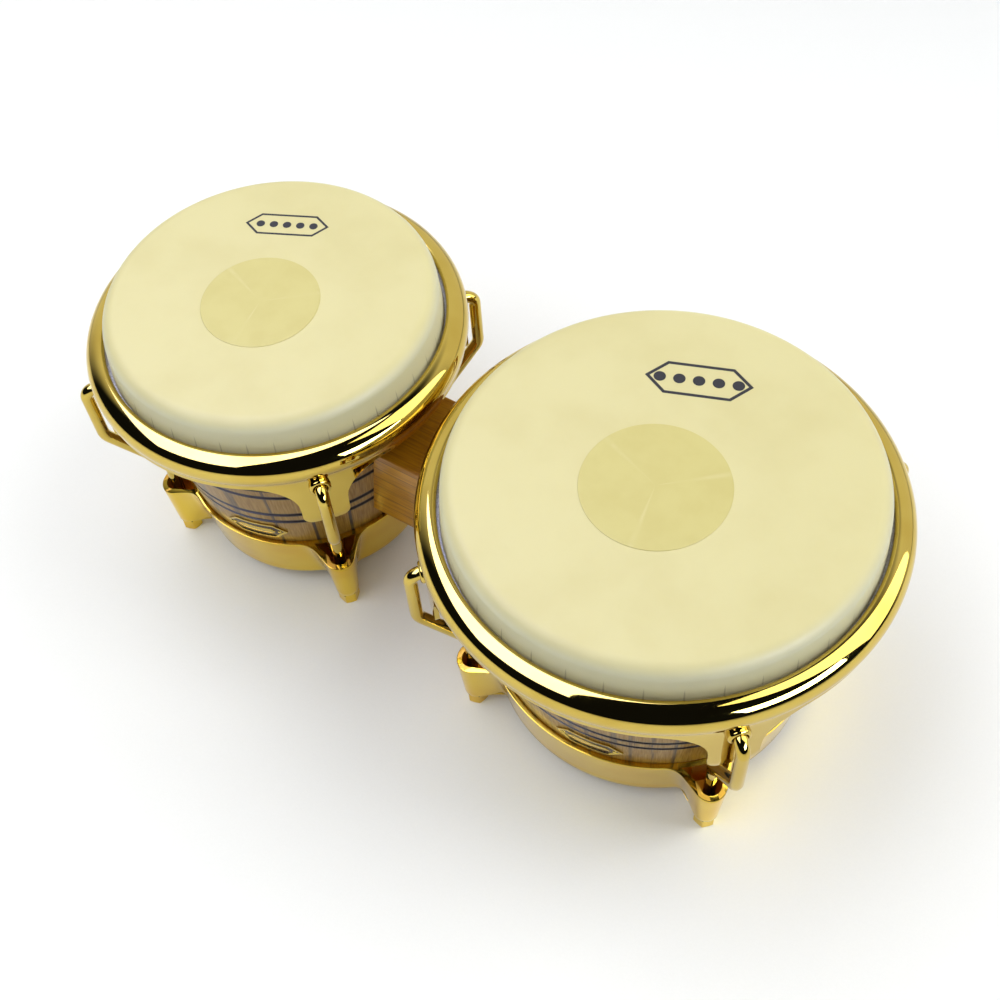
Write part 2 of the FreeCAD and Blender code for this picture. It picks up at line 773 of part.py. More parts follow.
small = Drum("small")
large = Drum("large")
for drum, block_side in ((small, 0.0), (large, 180.0)):
    make_shell(drum, block_side)
    make_film(drum)
    make_flesh_hoop(drum)
    make_patch(drum)
    make_rim(drum)
    make_bottom_ring(drum)
    make_washers(drum)
    make_badge(drum)
    make_saddle(drum, 1 if drum is small else -1)
    for number in range(TUNING_POINTS):
        make_hook(drum, number)
        make_nut(drum, number)
make_block(small, large)
make_bolts(small, large)
check_and_write()
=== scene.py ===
"""A pair of bongo drums: tapered wood shells, cream heads, gold-plated rims, hooks and rings.

Metres, +Z up. The small drum stands at -X and the large one at +X, joined by a wooden block.
Sizes are written in millimetres in the classes below and turned to metres by MM.
"""

import logging
import math
from contextlib import contextmanager
from dataclasses import dataclass
from enum import Enum
from typing import Any, Callable, Iterator, Sequence

import bmesh
import bpy
import numpy as np
from mathutils import Matrix, Vector


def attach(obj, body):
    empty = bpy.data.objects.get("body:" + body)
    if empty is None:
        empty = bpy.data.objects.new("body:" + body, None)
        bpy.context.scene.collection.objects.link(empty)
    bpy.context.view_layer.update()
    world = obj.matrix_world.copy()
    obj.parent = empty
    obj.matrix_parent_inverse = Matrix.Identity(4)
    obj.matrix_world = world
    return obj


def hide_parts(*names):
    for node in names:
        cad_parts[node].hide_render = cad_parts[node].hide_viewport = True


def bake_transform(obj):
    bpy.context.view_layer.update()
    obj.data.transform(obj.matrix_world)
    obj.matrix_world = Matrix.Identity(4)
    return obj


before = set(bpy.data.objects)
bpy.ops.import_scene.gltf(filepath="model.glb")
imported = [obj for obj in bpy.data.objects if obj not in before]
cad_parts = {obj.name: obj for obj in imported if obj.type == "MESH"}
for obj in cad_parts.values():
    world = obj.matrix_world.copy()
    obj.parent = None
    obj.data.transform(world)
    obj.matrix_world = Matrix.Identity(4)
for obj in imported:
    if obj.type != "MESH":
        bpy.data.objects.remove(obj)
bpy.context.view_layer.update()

MM = 0.001
TUNING_POINTS = 4
Point = tuple[float, float]
log = logging.getLogger("bongo_drums")


class Part(Enum):
    """What an edit-mode selection is made of."""

    CORNERS = "VERT"
    EDGES = "EDGE"
    FACES = "FACE"


# --- bench work -------------------------------------------------------------------------------


def clear_selection() -> None:
    """Deselect every object, so that an operator acts on one piece only."""
    for item in list(bpy.context.selected_objects):
        item.select_set(False)


def named(name: str) -> bpy.types.Object:
    """Name the primitive that was just added.

    Args:
        name: The piece's name.

    Returns:
        The new piece.
    """
    piece = bpy.context.active_object
    piece.name = piece.data.name = name
    return piece


def hold(piece: bpy.types.Object) -> None:
    """Make one piece the only selected and the active one."""
    clear_selection()
    piece.select_set(True)
    bpy.context.view_layer.objects.active = piece


@contextmanager
def editing(piece: bpy.types.Object) -> Iterator[None]:
    """Work on a piece in edit mode."""
    hold(piece)
    bpy.ops.object.mode_set(mode="EDIT")
    yield
    bpy.ops.object.mode_set(mode="OBJECT")


def pick(piece: bpy.types.Object, part: Part, wanted: Callable[[Any], bool]) -> None:
    """Select parts of the mesh being edited, by their place or normal.

    Args:
        piece: The piece in edit mode.
        part: What is selected.
        wanted: Says whether one corner, edge or face is picked.
    """
    bpy.ops.mesh.select_mode(type=part.value)
    bpy.ops.mesh.select_all(action="DESELECT")
    mesh = bmesh.from_edit_mesh(piece.data)
    items = {Part.CORNERS: mesh.verts, Part.EDGES: mesh.edges, Part.FACES: mesh.faces}[part]
    for item in items:
        item.select_set(wanted(item))
    bmesh.update_edit_mesh(piece.data)


def settle(piece: bpy.types.Object) -> bpy.types.Object:
    """Move the piece's place and turn into its mesh."""
    hold(piece)
    bpy.ops.object.transform_apply(location=True, rotation=True, scale=True)
    return piece


def face_outwards(piece: bpy.types.Object) -> None:
    """Merge doubled corners and turn every face outwards."""
    with editing(piece):
        bpy.ops.mesh.select_all(action="SELECT")
        bpy.ops.mesh.remove_doubles(threshold=1e-6)
        bpy.ops.mesh.normals_make_consistent(inside=False)


def smooth(piece: bpy.types.Object, angle: float = 32.0) -> bpy.types.Object:
    """Shade smooth, except over edges sharper than an angle in degrees."""
    hold(piece)
    bpy.ops.object.shade_smooth_by_angle(angle=math.radians(angle))
    return piece


def finish_with(piece: bpy.types.Object, kind: str, **settings: Any) -> bpy.types.Object:
    """Add a modifier and apply it.

    Args:
        piece: The piece to change.
        kind: The modifier's type.
        **settings: Its settings.

    Returns:
        The same piece.
    """
    hold(piece)
    modifier = piece.modifiers.new(kind.title(), kind)
    for name, value in settings.items():
        setattr(modifier, name, value)
    bpy.ops.object.modifier_apply(modifier=modifier.name)
    return piece


def ease_edges(piece: bpy.types.Object, width: float, segments: int = 2, angle: float = 40.0) -> None:
    """Round the sharp edges of a piece.

    Args:
        piece: The piece.
        width: Width of the rounding in millimetres.
        segments: Steps across it.
        angle: Edges sharper than this many degrees are rounded.
    """
    finish_with(piece, "BEVEL", width=width * MM, segments=segments, limit_method="ANGLE",
                angle_limit=math.radians(angle))


def cut_away(piece: bpy.types.Object, cutter: bpy.types.Object, keep_inside: bool = False) -> None:
    """Cut a piece with another one, which is used up.

    Args:
        piece: The piece that is cut.
        cutter: The closed shape that cuts.
        keep_inside: Keep what both share instead.
    """
    operation = "INTERSECT" if keep_inside else "DIFFERENCE"
    finish_with(piece, "BOOLEAN", operation=operation, solver="EXACT", object=cutter)
    bpy.data.objects.remove(cutter)


def joined(name: str, pieces: Sequence[bpy.types.Object]) -> bpy.types.Object:
    """Join pieces into one.

    Args:
        name: Name of the result.
        pieces: What is joined.

    Returns:
        The joined piece.
    """
    clear_selection()
    for piece in pieces:
        piece.select_set(True)
    bpy.context.view_layer.objects.active = pieces[0]
    if len(pieces) > 1:
        bpy.ops.object.join()
    return named(name)


def placed_copy(piece: bpy.types.Object, name: str, move: Matrix) -> bpy.types.Object:
    """Copy a piece with a mesh of its own.

    Args:
        piece: The model.
        name: Name of the copy.
        move: How the copy's mesh is moved.

    Returns:
        The copy.
    """
    copy = piece.copy()
    copy.data = piece.data.copy()
    copy.name = copy.data.name = name
    bpy.context.scene.collection.objects.link(copy)
    copy.data.transform(move)
    return copy


def rounded_path(corners: Sequence[tuple[float, float, float]], step: float = 12.0) -> list[Point]:
    """A line through corners that are rounded by arcs.

    Args:
        corners: Each corner and its radius. The first and last have radius 0.
        step: Degrees between points on an arc.

    Returns:
        The points of the line.
    """
    path: list[Point] = [corners[0][:2]]
    for before, here, after in zip(corners, corners[1:], corners[2:]):
        spot = Vector(here[:2])
        way_in = (spot - Vector(before[:2])).normalized()
        way_out = (Vector(after[:2]) - spot).normalized()
        bend = way_in.angle_signed(way_out, 0.0)
        if here[2] == 0.0 or abs(bend) < 1e-6:
            path.append(tuple(spot))
            continue
        reach = here[2] * math.tan(abs(bend) / 2)
        start = spot - way_in * reach
        side = -1.0 if bend > 0 else 1.0
        centre = start + Vector((-way_in.y, way_in.x)) * here[2] * side
        arm = start - centre
        count = max(2, math.ceil(math.degrees(abs(bend)) / step))
        for index in range(count + 1):
            turn = -bend * index / count
            path.append((centre.x + arm.x * math.cos(turn) - arm.y * math.sin(turn),
                         centre.y + arm.x * math.sin(turn) + arm.y * math.cos(turn)))
    path.append(corners[-1][:2])
    return path


def turned(name: str, outline: Sequence[Point], axis_x: float = 0.0,
           steps: int = 192) -> bpy.types.Object:
    """Turn a closed outline about an upright axis, as on a lathe.

    Args:
        name: The piece's name.
        outline: Points (radius, height) in millimetres.
        axis_x: Place of the axis along X, in millimetres.
        steps: Steps round the axis.

    Returns:
        The turned piece.
    """
    clear_selection()
    bpy.ops.mesh.primitive_circle_add(vertices=len(outline), radius=MM)
    piece = named(name)
    with editing(piece):
        mesh = bmesh.from_edit_mesh(piece.data)
        mesh.verts.ensure_lookup_table()
        for corner, (radius, height) in zip(mesh.verts, outline):
            corner.co = ((axis_x + radius) * MM, 0.0, height * MM)
        bmesh.update_edit_mesh(piece.data)
        bpy.ops.mesh.select_all(action="SELECT")
        bpy.ops.mesh.spin(steps=steps, angle=math.tau, center=(axis_x * MM, 0.0, 0.0),
                          axis=(0.0, 0.0, 1.0))
    face_outwards(piece)
    return piece


def formed_ring(name: str, sections: np.ndarray) -> bpy.types.Object:
    """Roll a flat sheet up into a closed ring whose section changes on the way round.

    Args:
        name: The piece's name.
        sections: Array (columns, points, 3) of places in millimetres.

    Returns:
        The formed piece.
    """
    clear_selection()
    columns, points, _ = sections.shape
    bpy.ops.mesh.primitive_grid_add(x_subdivisions=points, y_subdivisions=columns, size=MM)
    piece = named(name)
    closed = np.pad(sections, ((0, 1), (0, 1), (0, 0)), mode="wrap")
    piece.data.vertices.foreach_set("co", (closed * MM).astype(np.float32).ravel())
    piece.data.update()
    face_outwards(piece)
    return piece


def drawn_rod(name: str, stations: Sequence[tuple[float, float, float]],
              sides: int = 24) -> bpy.types.Object:
    """Extrude a round rod along a line in the XZ plane.

    Args:
        name: The piece's name.
        stations: Each point of the line and the rod's radius there, in millimetres.
        sides: Corners round the rod.

    Returns:
        The rod, closed at both ends.
    """
    places = [Vector((x, 0.0, z)) * MM for x, z, _ in stations]

    def ring(index: int) -> list[Vector]:
        """The rod's corners at one station."""
        ahead = places[min(index + 1, len(places) - 1)] - places[max(index - 1, 0)]
        along = ahead.normalized()
        across = Vector((along.z, 0.0, -along.x))
        radius = stations[index][2] * MM
        return [places[index] + across * radius * math.cos(math.tau * k / sides)
                + Vector((0.0, 1.0, 0.0)) * radius * math.sin(math.tau * k / sides)
                for k in range(sides)]

    clear_selection()
    bpy.ops.mesh.primitive_circle_add(vertices=sides, radius=MM, fill_type="NGON")
    piece = named(name)
    with editing(piece):
        mesh = bmesh.from_edit_mesh(piece.data)
        mesh.verts.ensure_lookup_table()
        for corner, place in zip(mesh.verts, ring(0)):
            corner.co = place
        for index in range(1, len(stations)):
            old, new = ring(index - 1), ring(index)
            bpy.ops.mesh.extrude_region_move(TRANSFORM_OT_translate={"value": (0.0, 0.0, 0.0)})
            mesh = bmesh.from_edit_mesh(piece.data)
            for corner in [c for c in mesh.verts if c.select]:
                nearest = min(range(sides), key=lambda k: (old[k] - corner.co).length_squared)
                corner.co = new[nearest]
        bmesh.update_edit_mesh(piece.data)
    face_outwards(piece)
    return piece


# --- finishes ---------------------------------------------------------------------------------


def linear(hex_colour: str) -> tuple[float, float, float, float]:
    """Turn an sRGB hex colour to linear light.

    Args:
        hex_colour: Six hex digits.

    Returns:
        Red, green, blue and 1.
    """
    parts = [int(hex_colour[i:i + 2], 16) / 255 for i in (0, 2, 4)]
    return (*(p / 12.92 if p <= 0.04045 else ((p + 0.055) / 1.055) ** 2.4 for p in parts), 1.0)


def add(tree: bpy.types.NodeTree, kind: str, inputs: dict[Any, Any] | None = None,
        **settings: Any) -> bpy.types.Node:
    """Add a node with its settings and links.

    Args:
        tree: Where it goes.
        kind: The node's type, without ShaderNode.
        inputs: Socket name or number to a value, or to the output that feeds it.
        **settings: The node's own settings.

    Returns:
        The node.
    """
    made = tree.nodes.new("ShaderNode" + kind)
    for name, value in settings.items():
        setattr(made, name, value)
    for socket, value in (inputs or {}).items():
        if isinstance(value, bpy.types.NodeSocket):
            tree.links.new(value, made.inputs[socket])
        else:
            made.inputs[socket].default_value = value
    return made


def new_material(name: str) -> tuple[bpy.types.Material, bpy.types.NodeTree]:
    """An empty node material and its tree."""
    material = bpy.data.materials.new(name)
    material.use_nodes = True
    material.node_tree.nodes.clear()
    return material, material.node_tree


def shader(tree: bpy.types.NodeTree, inputs: dict[str, Any], bump: Any = None,
           depth: float = 0.0) -> None:
    """End a material with its surface shader.

    Args:
        tree: The material's tree.
        inputs: What the shader's sockets get.
        bump: The output that gives the height, if there is one.
        depth: Height of the bump in millimetres.
    """
    if bump is not None:
        relief = add(tree, "Bump", {"Strength": 1.0, "Distance": depth * MM, "Height": bump})
        inputs = {**inputs, "Normal": relief.outputs[0]}
    surface = add(tree, "BsdfPrincipled", inputs)
    add(tree, "OutputMaterial", {"Surface": surface.outputs[0]})


def maths(tree: bpy.types.NodeTree, operation: str, *values: Any) -> bpy.types.NodeSocket:
    """The result of a Math node."""
    return add(tree, "Math", dict(enumerate(values)), operation=operation).outputs[0]


def mixed(tree: bpy.types.NodeTree, share: Any, first: Any, second: Any) -> bpy.types.NodeSocket:
    """One colour mixed with another."""
    return add(tree, "Mix", {0: share, 6: first, 7: second}, data_type="RGBA").outputs[2]


def ramp(tree: bpy.types.NodeTree, value: Any, low: float, high: float, start: float = 0.0,
         end: float = 1.0) -> bpy.types.NodeSocket:
    """A smooth step of a value from low to high."""
    return add(tree, "MapRange", {0: value, 1: low, 2: high, 3: start, 4: end},
               interpolation_type="SMOOTHSTEP").outputs[0]


@dataclass(frozen=True)
class Around:
    """Places on a turned piece, read from Object coordinates about its own axis."""

    tree: bpy.types.NodeTree
    axis_x: float

    def read(self) -> tuple[bpy.types.NodeSocket, ...]:
        """Place from the axis, angle, radius and height as sockets, in metres and radians."""
        place = add(self.tree, "TexCoord").outputs["Object"]
        centred = add(self.tree, "Mapping", {0: place, 1: (-self.axis_x * MM, 0.0, 0.0)}).outputs[0]
        parts = add(self.tree, "SeparateXYZ", {0: centred}).outputs
        angle = maths(self.tree, "ARCTAN2", parts[1], parts[0])
        flat = add(self.tree, "CombineXYZ", {0: parts[0], 1: parts[1]}).outputs[0]
        radius = add(self.tree, "VectorMath", {0: flat}, operation="LENGTH").outputs["Value"]
        return centred, angle, radius, parts[2]


@dataclass(frozen=True)
class GoldPlate:
    """Gold flash plating over polished brass: a mirror with faint buffing haze."""

    name: str = "gold_plated_brass_polished"
    colour: str = "CFB559"
    deep: str = "BC9C3C"
    roughness: float = 0.035
    haze: float = 0.06

    def make(self) -> bpy.types.Material:
        """The material."""
        material, tree = new_material(self.name)
        place = add(tree, "TexCoord").outputs["Object"]
        # Plating thins and deepens in colour over patches about 30 mm across.
        patches = add(tree, "TexNoise", {"Vector": place, "Scale": 33.0, "Detail": 2.0}).outputs[0]
        # Buffing leaves haze in spots of about 3 mm.
        buffing = add(tree, "TexNoise", {"Vector": place, "Scale": 330.0, "Detail": 4.0}).outputs[0]
        colour = mixed(tree, ramp(tree, patches, 0.35, 0.75, 0.0, 0.45), linear(self.colour),
                       linear(self.deep))
        haze = ramp(tree, buffing, 0.4, 0.8, self.roughness, self.haze)
        shader(tree, {"Base Color": colour, "Metallic": 1.0, "Roughness": haze},
               bump=buffing, depth=0.004)
        return material


@dataclass(frozen=True)
class CreamFilm:
    """Coated polyester drum head: cream, softly shining, with painted light making it paler and greyer
    where it turns down the side.
    """

    axis_x: float
    slots: int
    head_top: float
    name: str = "coated_polyester_film"
    colour: str = "D0C793"
    cloud: str = "CBC18B"
    collar: str = "D3D1B4"
    painted_slot_shade: str = "5E5236"

    def make(self) -> bpy.types.Material:
        """The material."""
        material, tree = new_material(self.name)
        place, angle, radius, height = Around(tree, self.axis_x).read()
        # Coating varies in patches about 40 mm across, with fibres a few millimetres long.
        clouds = add(tree, "TexNoise", {"Vector": place, "Scale": 25.0, "Detail": 5.0}).outputs[0]
        fibre_place = add(tree, "Mapping", {0: place, 3: (1.0, 0.25, 1.0)}).outputs[0]
        fibres = add(tree, "TexNoise", {"Vector": fibre_place, "Scale": 420.0, "Detail": 3.0}).outputs[0]
        top = mixed(tree, ramp(tree, clouds, 0.35, 0.72), linear(self.colour), linear(self.cloud))
        # Painted light: the collar colour takes over as the film turns down the side, standing in for
        # how light falls on that slope.
        down = ramp(tree, height, self.head_top * MM, (self.head_top - 5.5) * MM)
        skin = mixed(tree, maths(tree, "MULTIPLY", down, 0.85), top, linear(self.collar))
        # Narrow weep slots round the collar, wider towards the hoop, each painted dark as painted shade
        # in its pressed crease.
        turn = maths(tree, "FRACT", maths(tree, "ADD", maths(
            tree, "MULTIPLY", angle, self.slots / math.tau), 0.5))
        aside = maths(tree, "MULTIPLY", maths(tree, "ABSOLUTE", maths(tree, "SUBTRACT", turn, 0.5)),
                      maths(tree, "MULTIPLY", radius, math.tau / self.slots))
        width = ramp(tree, height, (self.head_top - 12.0) * MM, (self.head_top - 18.0) * MM,
                     0.0, 0.36 * MM)
        slot = maths(tree, "LESS_THAN", aside, width)
        wobble = ramp(tree, clouds, 0.3, 0.7, 0.18, 0.42)
        colour = mixed(tree, maths(tree, "MULTIPLY", slot, wobble), skin, linear(self.painted_slot_shade))
        shader(tree, {"Base Color": colour, "Roughness": 0.5, "Specular IOR Level": 0.35,
                      "Subsurface Weight": 0.08, "Subsurface Radius": (0.004, 0.003, 0.0015)},
               bump=fibres, depth=0.02)
        return material


@dataclass(frozen=True)
class PatchFilm:
    """Second layer of film, glued on: a deeper yellow with three faint pale glue streaks."""

    axis_x: float
    shift: float
    name: str = "laminated_film_patch"
    colour: str = "C6BB75"
    cloud: str = "C2B66F"
    streak: str = "CEC488"

    def make(self) -> bpy.types.Material:
        """The material."""
        material, tree = new_material(self.name)
        place = add(tree, "TexCoord").outputs["Object"]
        centred = add(tree, "Mapping", {
            0: place, 1: (-self.axis_x * MM, self.shift * MM, 0.0)}).outputs[0]
        parts = add(tree, "SeparateXYZ", {0: centred}).outputs
        clouds = add(tree, "TexNoise", {"Vector": place, "Scale": 60.0, "Detail": 4.0}).outputs[0]
        # The distance from each of three arms of a streak, about 2 mm wide, 120 degrees apart.
        arms = maths(tree, "MULTIPLY", maths(tree, "ADD", maths(
            tree, "ARCTAN2", parts[1], parts[0]), 0.35), 3.0 / math.tau)
        aside = maths(tree, "ABSOLUTE", maths(tree, "SUBTRACT", maths(tree, "FRACT", arms), 0.5))
        near = maths(tree, "MULTIPLY", ramp(tree, aside, 0.035, 0.0),
                     ramp(tree, clouds, 0.42, 0.62, 0.1, 0.6))
        base = mixed(tree, ramp(tree, clouds, 0.35, 0.7), linear(self.colour), linear(self.cloud))
        colour = mixed(tree, near, base, linear(self.streak))
        shader(tree, {"Base Color": colour, "Roughness": 0.38, "Coat Weight": 0.15,
                      "Coat Roughness": 0.2}, bump=clouds, depth=0.03)
        return material


@dataclass(frozen=True)
class StaveWood:
    """Lacquered hardwood staves: golden tan, dark heartwood streaks and dark glue seams."""

    axis_x: float
    staves: int
    grooves: tuple[float, ...]
    head_height: float
    inside: float
    name: str = "lacquered_hardwood_staves"
    light: str = "A8843C"
    brown: str = "8A6422"
    streak: str = "352B2C"
    groove: str = "1C0B09"

    def make(self) -> bpy.types.Material:
        """The material."""
        material, tree = new_material(self.name)
        _, angle, radius, height = Around(tree, self.axis_x).read()
        turn = maths(tree, "MULTIPLY", angle, self.staves / math.tau)
        stave = maths(tree, "FLOOR", turn)
        tone = add(tree, "TexWhiteNoise", {"W": stave}, noise_dimensions="1D").outputs[0]
        across = maths(tree, "MULTIPLY", angle, self.inside * MM)
        # Grain runs up the staves: lines 0.7 mm apart, twenty times as long.
        spot = add(tree, "CombineXYZ", {0: across, 1: maths(tree, "MULTIPLY", stave, 0.37),
                                        2: maths(tree, "MULTIPLY", height, 0.05)}).outputs[0]
        grain = add(tree, "TexNoise", {"Vector": spot, "Scale": 1400.0, "Detail": 4.0,
                                       "Distortion": 0.3}).outputs[0]
        wide = add(tree, "TexNoise", {"Vector": spot, "Scale": 210.0, "Detail": 5.0,
                                      "Roughness": 0.65}).outputs[0]
        base = mixed(tree, ramp(tree, grain, 0.3, 0.7), linear(self.light), linear(self.brown))
        toned = mixed(tree, maths(tree, "MULTIPLY", tone, 0.35), base, linear(self.brown))
        heart = maths(tree, "MULTIPLY", ramp(tree, wide, 0.54, 0.63),
                      ramp(tree, tone, 0.15, 0.55, 0.15, 0.75))
        streaked = mixed(tree, heart, toned, linear(self.streak))
        # A glue seam 2 mm wide between staves, fainter between some of them.
        aside = maths(tree, "ABSOLUTE", maths(tree, "SUBTRACT", maths(tree, "FRACT", turn), 0.5))
        gap = maths(tree, "MULTIPLY", maths(tree, "SUBTRACT", 0.5, aside),
                    maths(tree, "MULTIPLY", radius, math.tau / self.staves))
        seam = maths(tree, "MULTIPLY", ramp(tree, gap, 1.3 * MM, 0.6 * MM),
                     ramp(tree, tone, 0.1, 0.9, 0.95, 0.35))
        seamed = mixed(tree, seam, streaked, linear(self.streak))
        dark: Any = 0.0
        for depth in self.grooves:
            middle = (self.head_height - depth) * MM
            off = maths(tree, "ABSOLUTE", maths(tree, "SUBTRACT", height, middle))
            dark = maths(tree, "MAXIMUM", dark, ramp(tree, off, 2.3 * MM, 1.6 * MM))
        outer = maths(tree, "GREATER_THAN", radius, self.inside * MM)
        colour = mixed(tree, maths(tree, "MULTIPLY", dark, outer), seamed, linear(self.groove))
        shader(tree, {"Base Color": colour, "Roughness": ramp(tree, grain, 0.3, 0.7, 0.28, 0.42),
                      "Specular IOR Level": 0.35,
                      "Coat Weight": 0.12, "Coat Roughness": 0.12}, bump=grain, depth=0.03)
        return material


@dataclass(frozen=True)
class BlockWood:
    """Lacquered laminated block: amber-brown layers with fine grain along X."""

    name: str = "lacquered_laminated_wood"
    light: str = "CC9012"
    dark: str = "965C06"
    glue: str = "3C2208"
    layer: float = 9.0

    def make(self) -> bpy.types.Material:
        """The material."""
        material, tree = new_material(self.name)
        place = add(tree, "TexCoord").outputs["Object"]
        parts = add(tree, "SeparateXYZ", {0: place}).outputs
        turn = maths(tree, "MULTIPLY", parts[2], 1.0 / (self.layer * MM))
        tone = add(tree, "TexWhiteNoise", {"W": maths(tree, "FLOOR", turn)},
                   noise_dimensions="1D").outputs[0]
        stretched = add(tree, "Mapping", {0: place, 3: (0.06, 1.0, 1.0)}).outputs[0]
        grain = add(tree, "TexNoise", {"Vector": stretched, "Scale": 900.0, "Detail": 5.0}).outputs[0]
        share = maths(tree, "ADD", maths(tree, "MULTIPLY", tone, 0.5),
                      ramp(tree, grain, 0.35, 0.7, 0.0, 0.5))
        base = mixed(tree, share, linear(self.light), linear(self.dark))
        edge = maths(tree, "ABSOLUTE", maths(tree, "SUBTRACT", maths(tree, "FRACT", turn), 0.5))
        colour = mixed(tree, ramp(tree, edge, 0.46, 0.49, 0.0, 0.8), base, linear(self.glue))
        shader(tree, {"Base Color": colour, "Roughness": 0.36, "Coat Weight": 0.2,
                      "Coat Roughness": 0.1}, bump=grain, depth=0.03)
        return material


@dataclass(frozen=True)
class PlainFinish:
    """A finish of one colour with fine mottling: plated steel, printing ink or dark lacquer."""

    name: str
    colour: str
    shade: str
    metallic: float
    roughness: float
    grit: float

    def make(self) -> bpy.types.Material:
        """The material."""
        material, tree = new_material(self.name)
        place = add(tree, "TexCoord").outputs["Object"]
        mottle = add(tree, "TexNoise", {"Vector": place, "Scale": 1.0 / (self.grit * MM),
                                        "Detail": 4.0}).outputs[0]
        colour = mixed(tree, ramp(tree, mottle, 0.3, 0.7), linear(self.colour), linear(self.shade))
        rough = ramp(tree, mottle, 0.3, 0.7, self.roughness, self.roughness * 1.4)
        shader(tree, {"Base Color": colour, "Metallic": self.metallic, "Roughness": rough},
               bump=mottle, depth=0.01)
        return material


GOLD = GoldPlate().make()
CAST_GOLD = GoldPlate("gold_plated_brass_cast", "EACA4A", "D6A234", 0.09, 0.16).make()
RAW_CAST = GoldPlate("gold_plated_brass_as_cast", "EBB848", "C98E2A", 0.38, 0.55).make()
STEEL = PlainFinish("zinc_plated_steel", "B9B7AE", "9C9A92", 1.0, 0.32, 0.8).make()
INK = PlainFinish("black_printing_ink", "14120E", "1F1C16", 0.0, 0.45, 0.5).make()
LACQUER = PlainFinish("dark_brown_lacquer", "3A220E", "2A170A", 0.0, 0.22, 0.6).make()


def dress(piece: bpy.types.Object, material: bpy.types.Material, body: str, slot: str,
          *nodes: str) -> None:
    """Give a piece its finish, the body it moves with and the CAD nodes it stands for.

    Args:
        piece: The finished piece.
        material: Its finish.
        body: The body that it rides on.
        slot: Name of a material slot; not used.
        *nodes: CAD nodes that it stands for.
    """
    piece.data.materials.clear()
    piece.data.materials.append(material)
    if body:
        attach(piece, body)
    if nodes:
        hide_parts(*nodes)
    log.info("%s: %d faces", piece.name, len(piece.data.polygons))


# --- one drum ---------------------------------------------------------------------------------


@dataclass
class Drum:
    """One drum's sizes in millimetres, as the CAD part has them."""

    name: str
    axis_x: float
    head: float              # outside of the head's collar
    foot: float              # outside of the shell at its lower end
    shaft: float             # axis to the threaded end of a hook
    turn: float              # first tuning point, degrees from +X
    patch: float
    patch_shift: float
    badge_turn: float
    slots: int
    staves: int
    mark_place: Point        # middle of the printed mark
    mark_half: Point
    mark_turn: float
    head_height: float = 183.5
    shell_foot: float = 15.5
    shell_wall: float = 10.5
    grooves: tuple[float, ...] = (70.0, 79.0, 100.0, 108.5)

    @property
    def side_radius(self) -> float:
        """Outside of the shell below its bearing edge."""
        return self.head - 0.8

    @property
    def side_top(self) -> float:
        """Height at which the bearing edge begins to round over."""
        return self.head_height - 7.8

    def shell_radius(self, height: float) -> float:
        """Outside of the tapered shell at a height."""
        slope = (self.side_radius - self.foot) / (self.side_top - self.shell_foot)
        return self.foot + slope * (height - self.shell_foot)

    def label(self, piece: str) -> str:
        """A piece's name on this drum."""
        return f"{self.name}_{piece}"

    def about_axis(self, degrees: float) -> Matrix:
        """A turn about the drum's axis of a piece modelled about the origin, and its move there."""
        return Matrix.Translation((self.axis_x * MM, 0.0, 0.0)) @ Matrix.Rotation(
            math.radians(degrees), 4, "Z")

    def tuning_angles(self) -> list[float]:
        """Degrees of the four tuning points."""
        return [self.turn + 360.0 / TUNING_POINTS * number for number in range(TUNING_POINTS)]


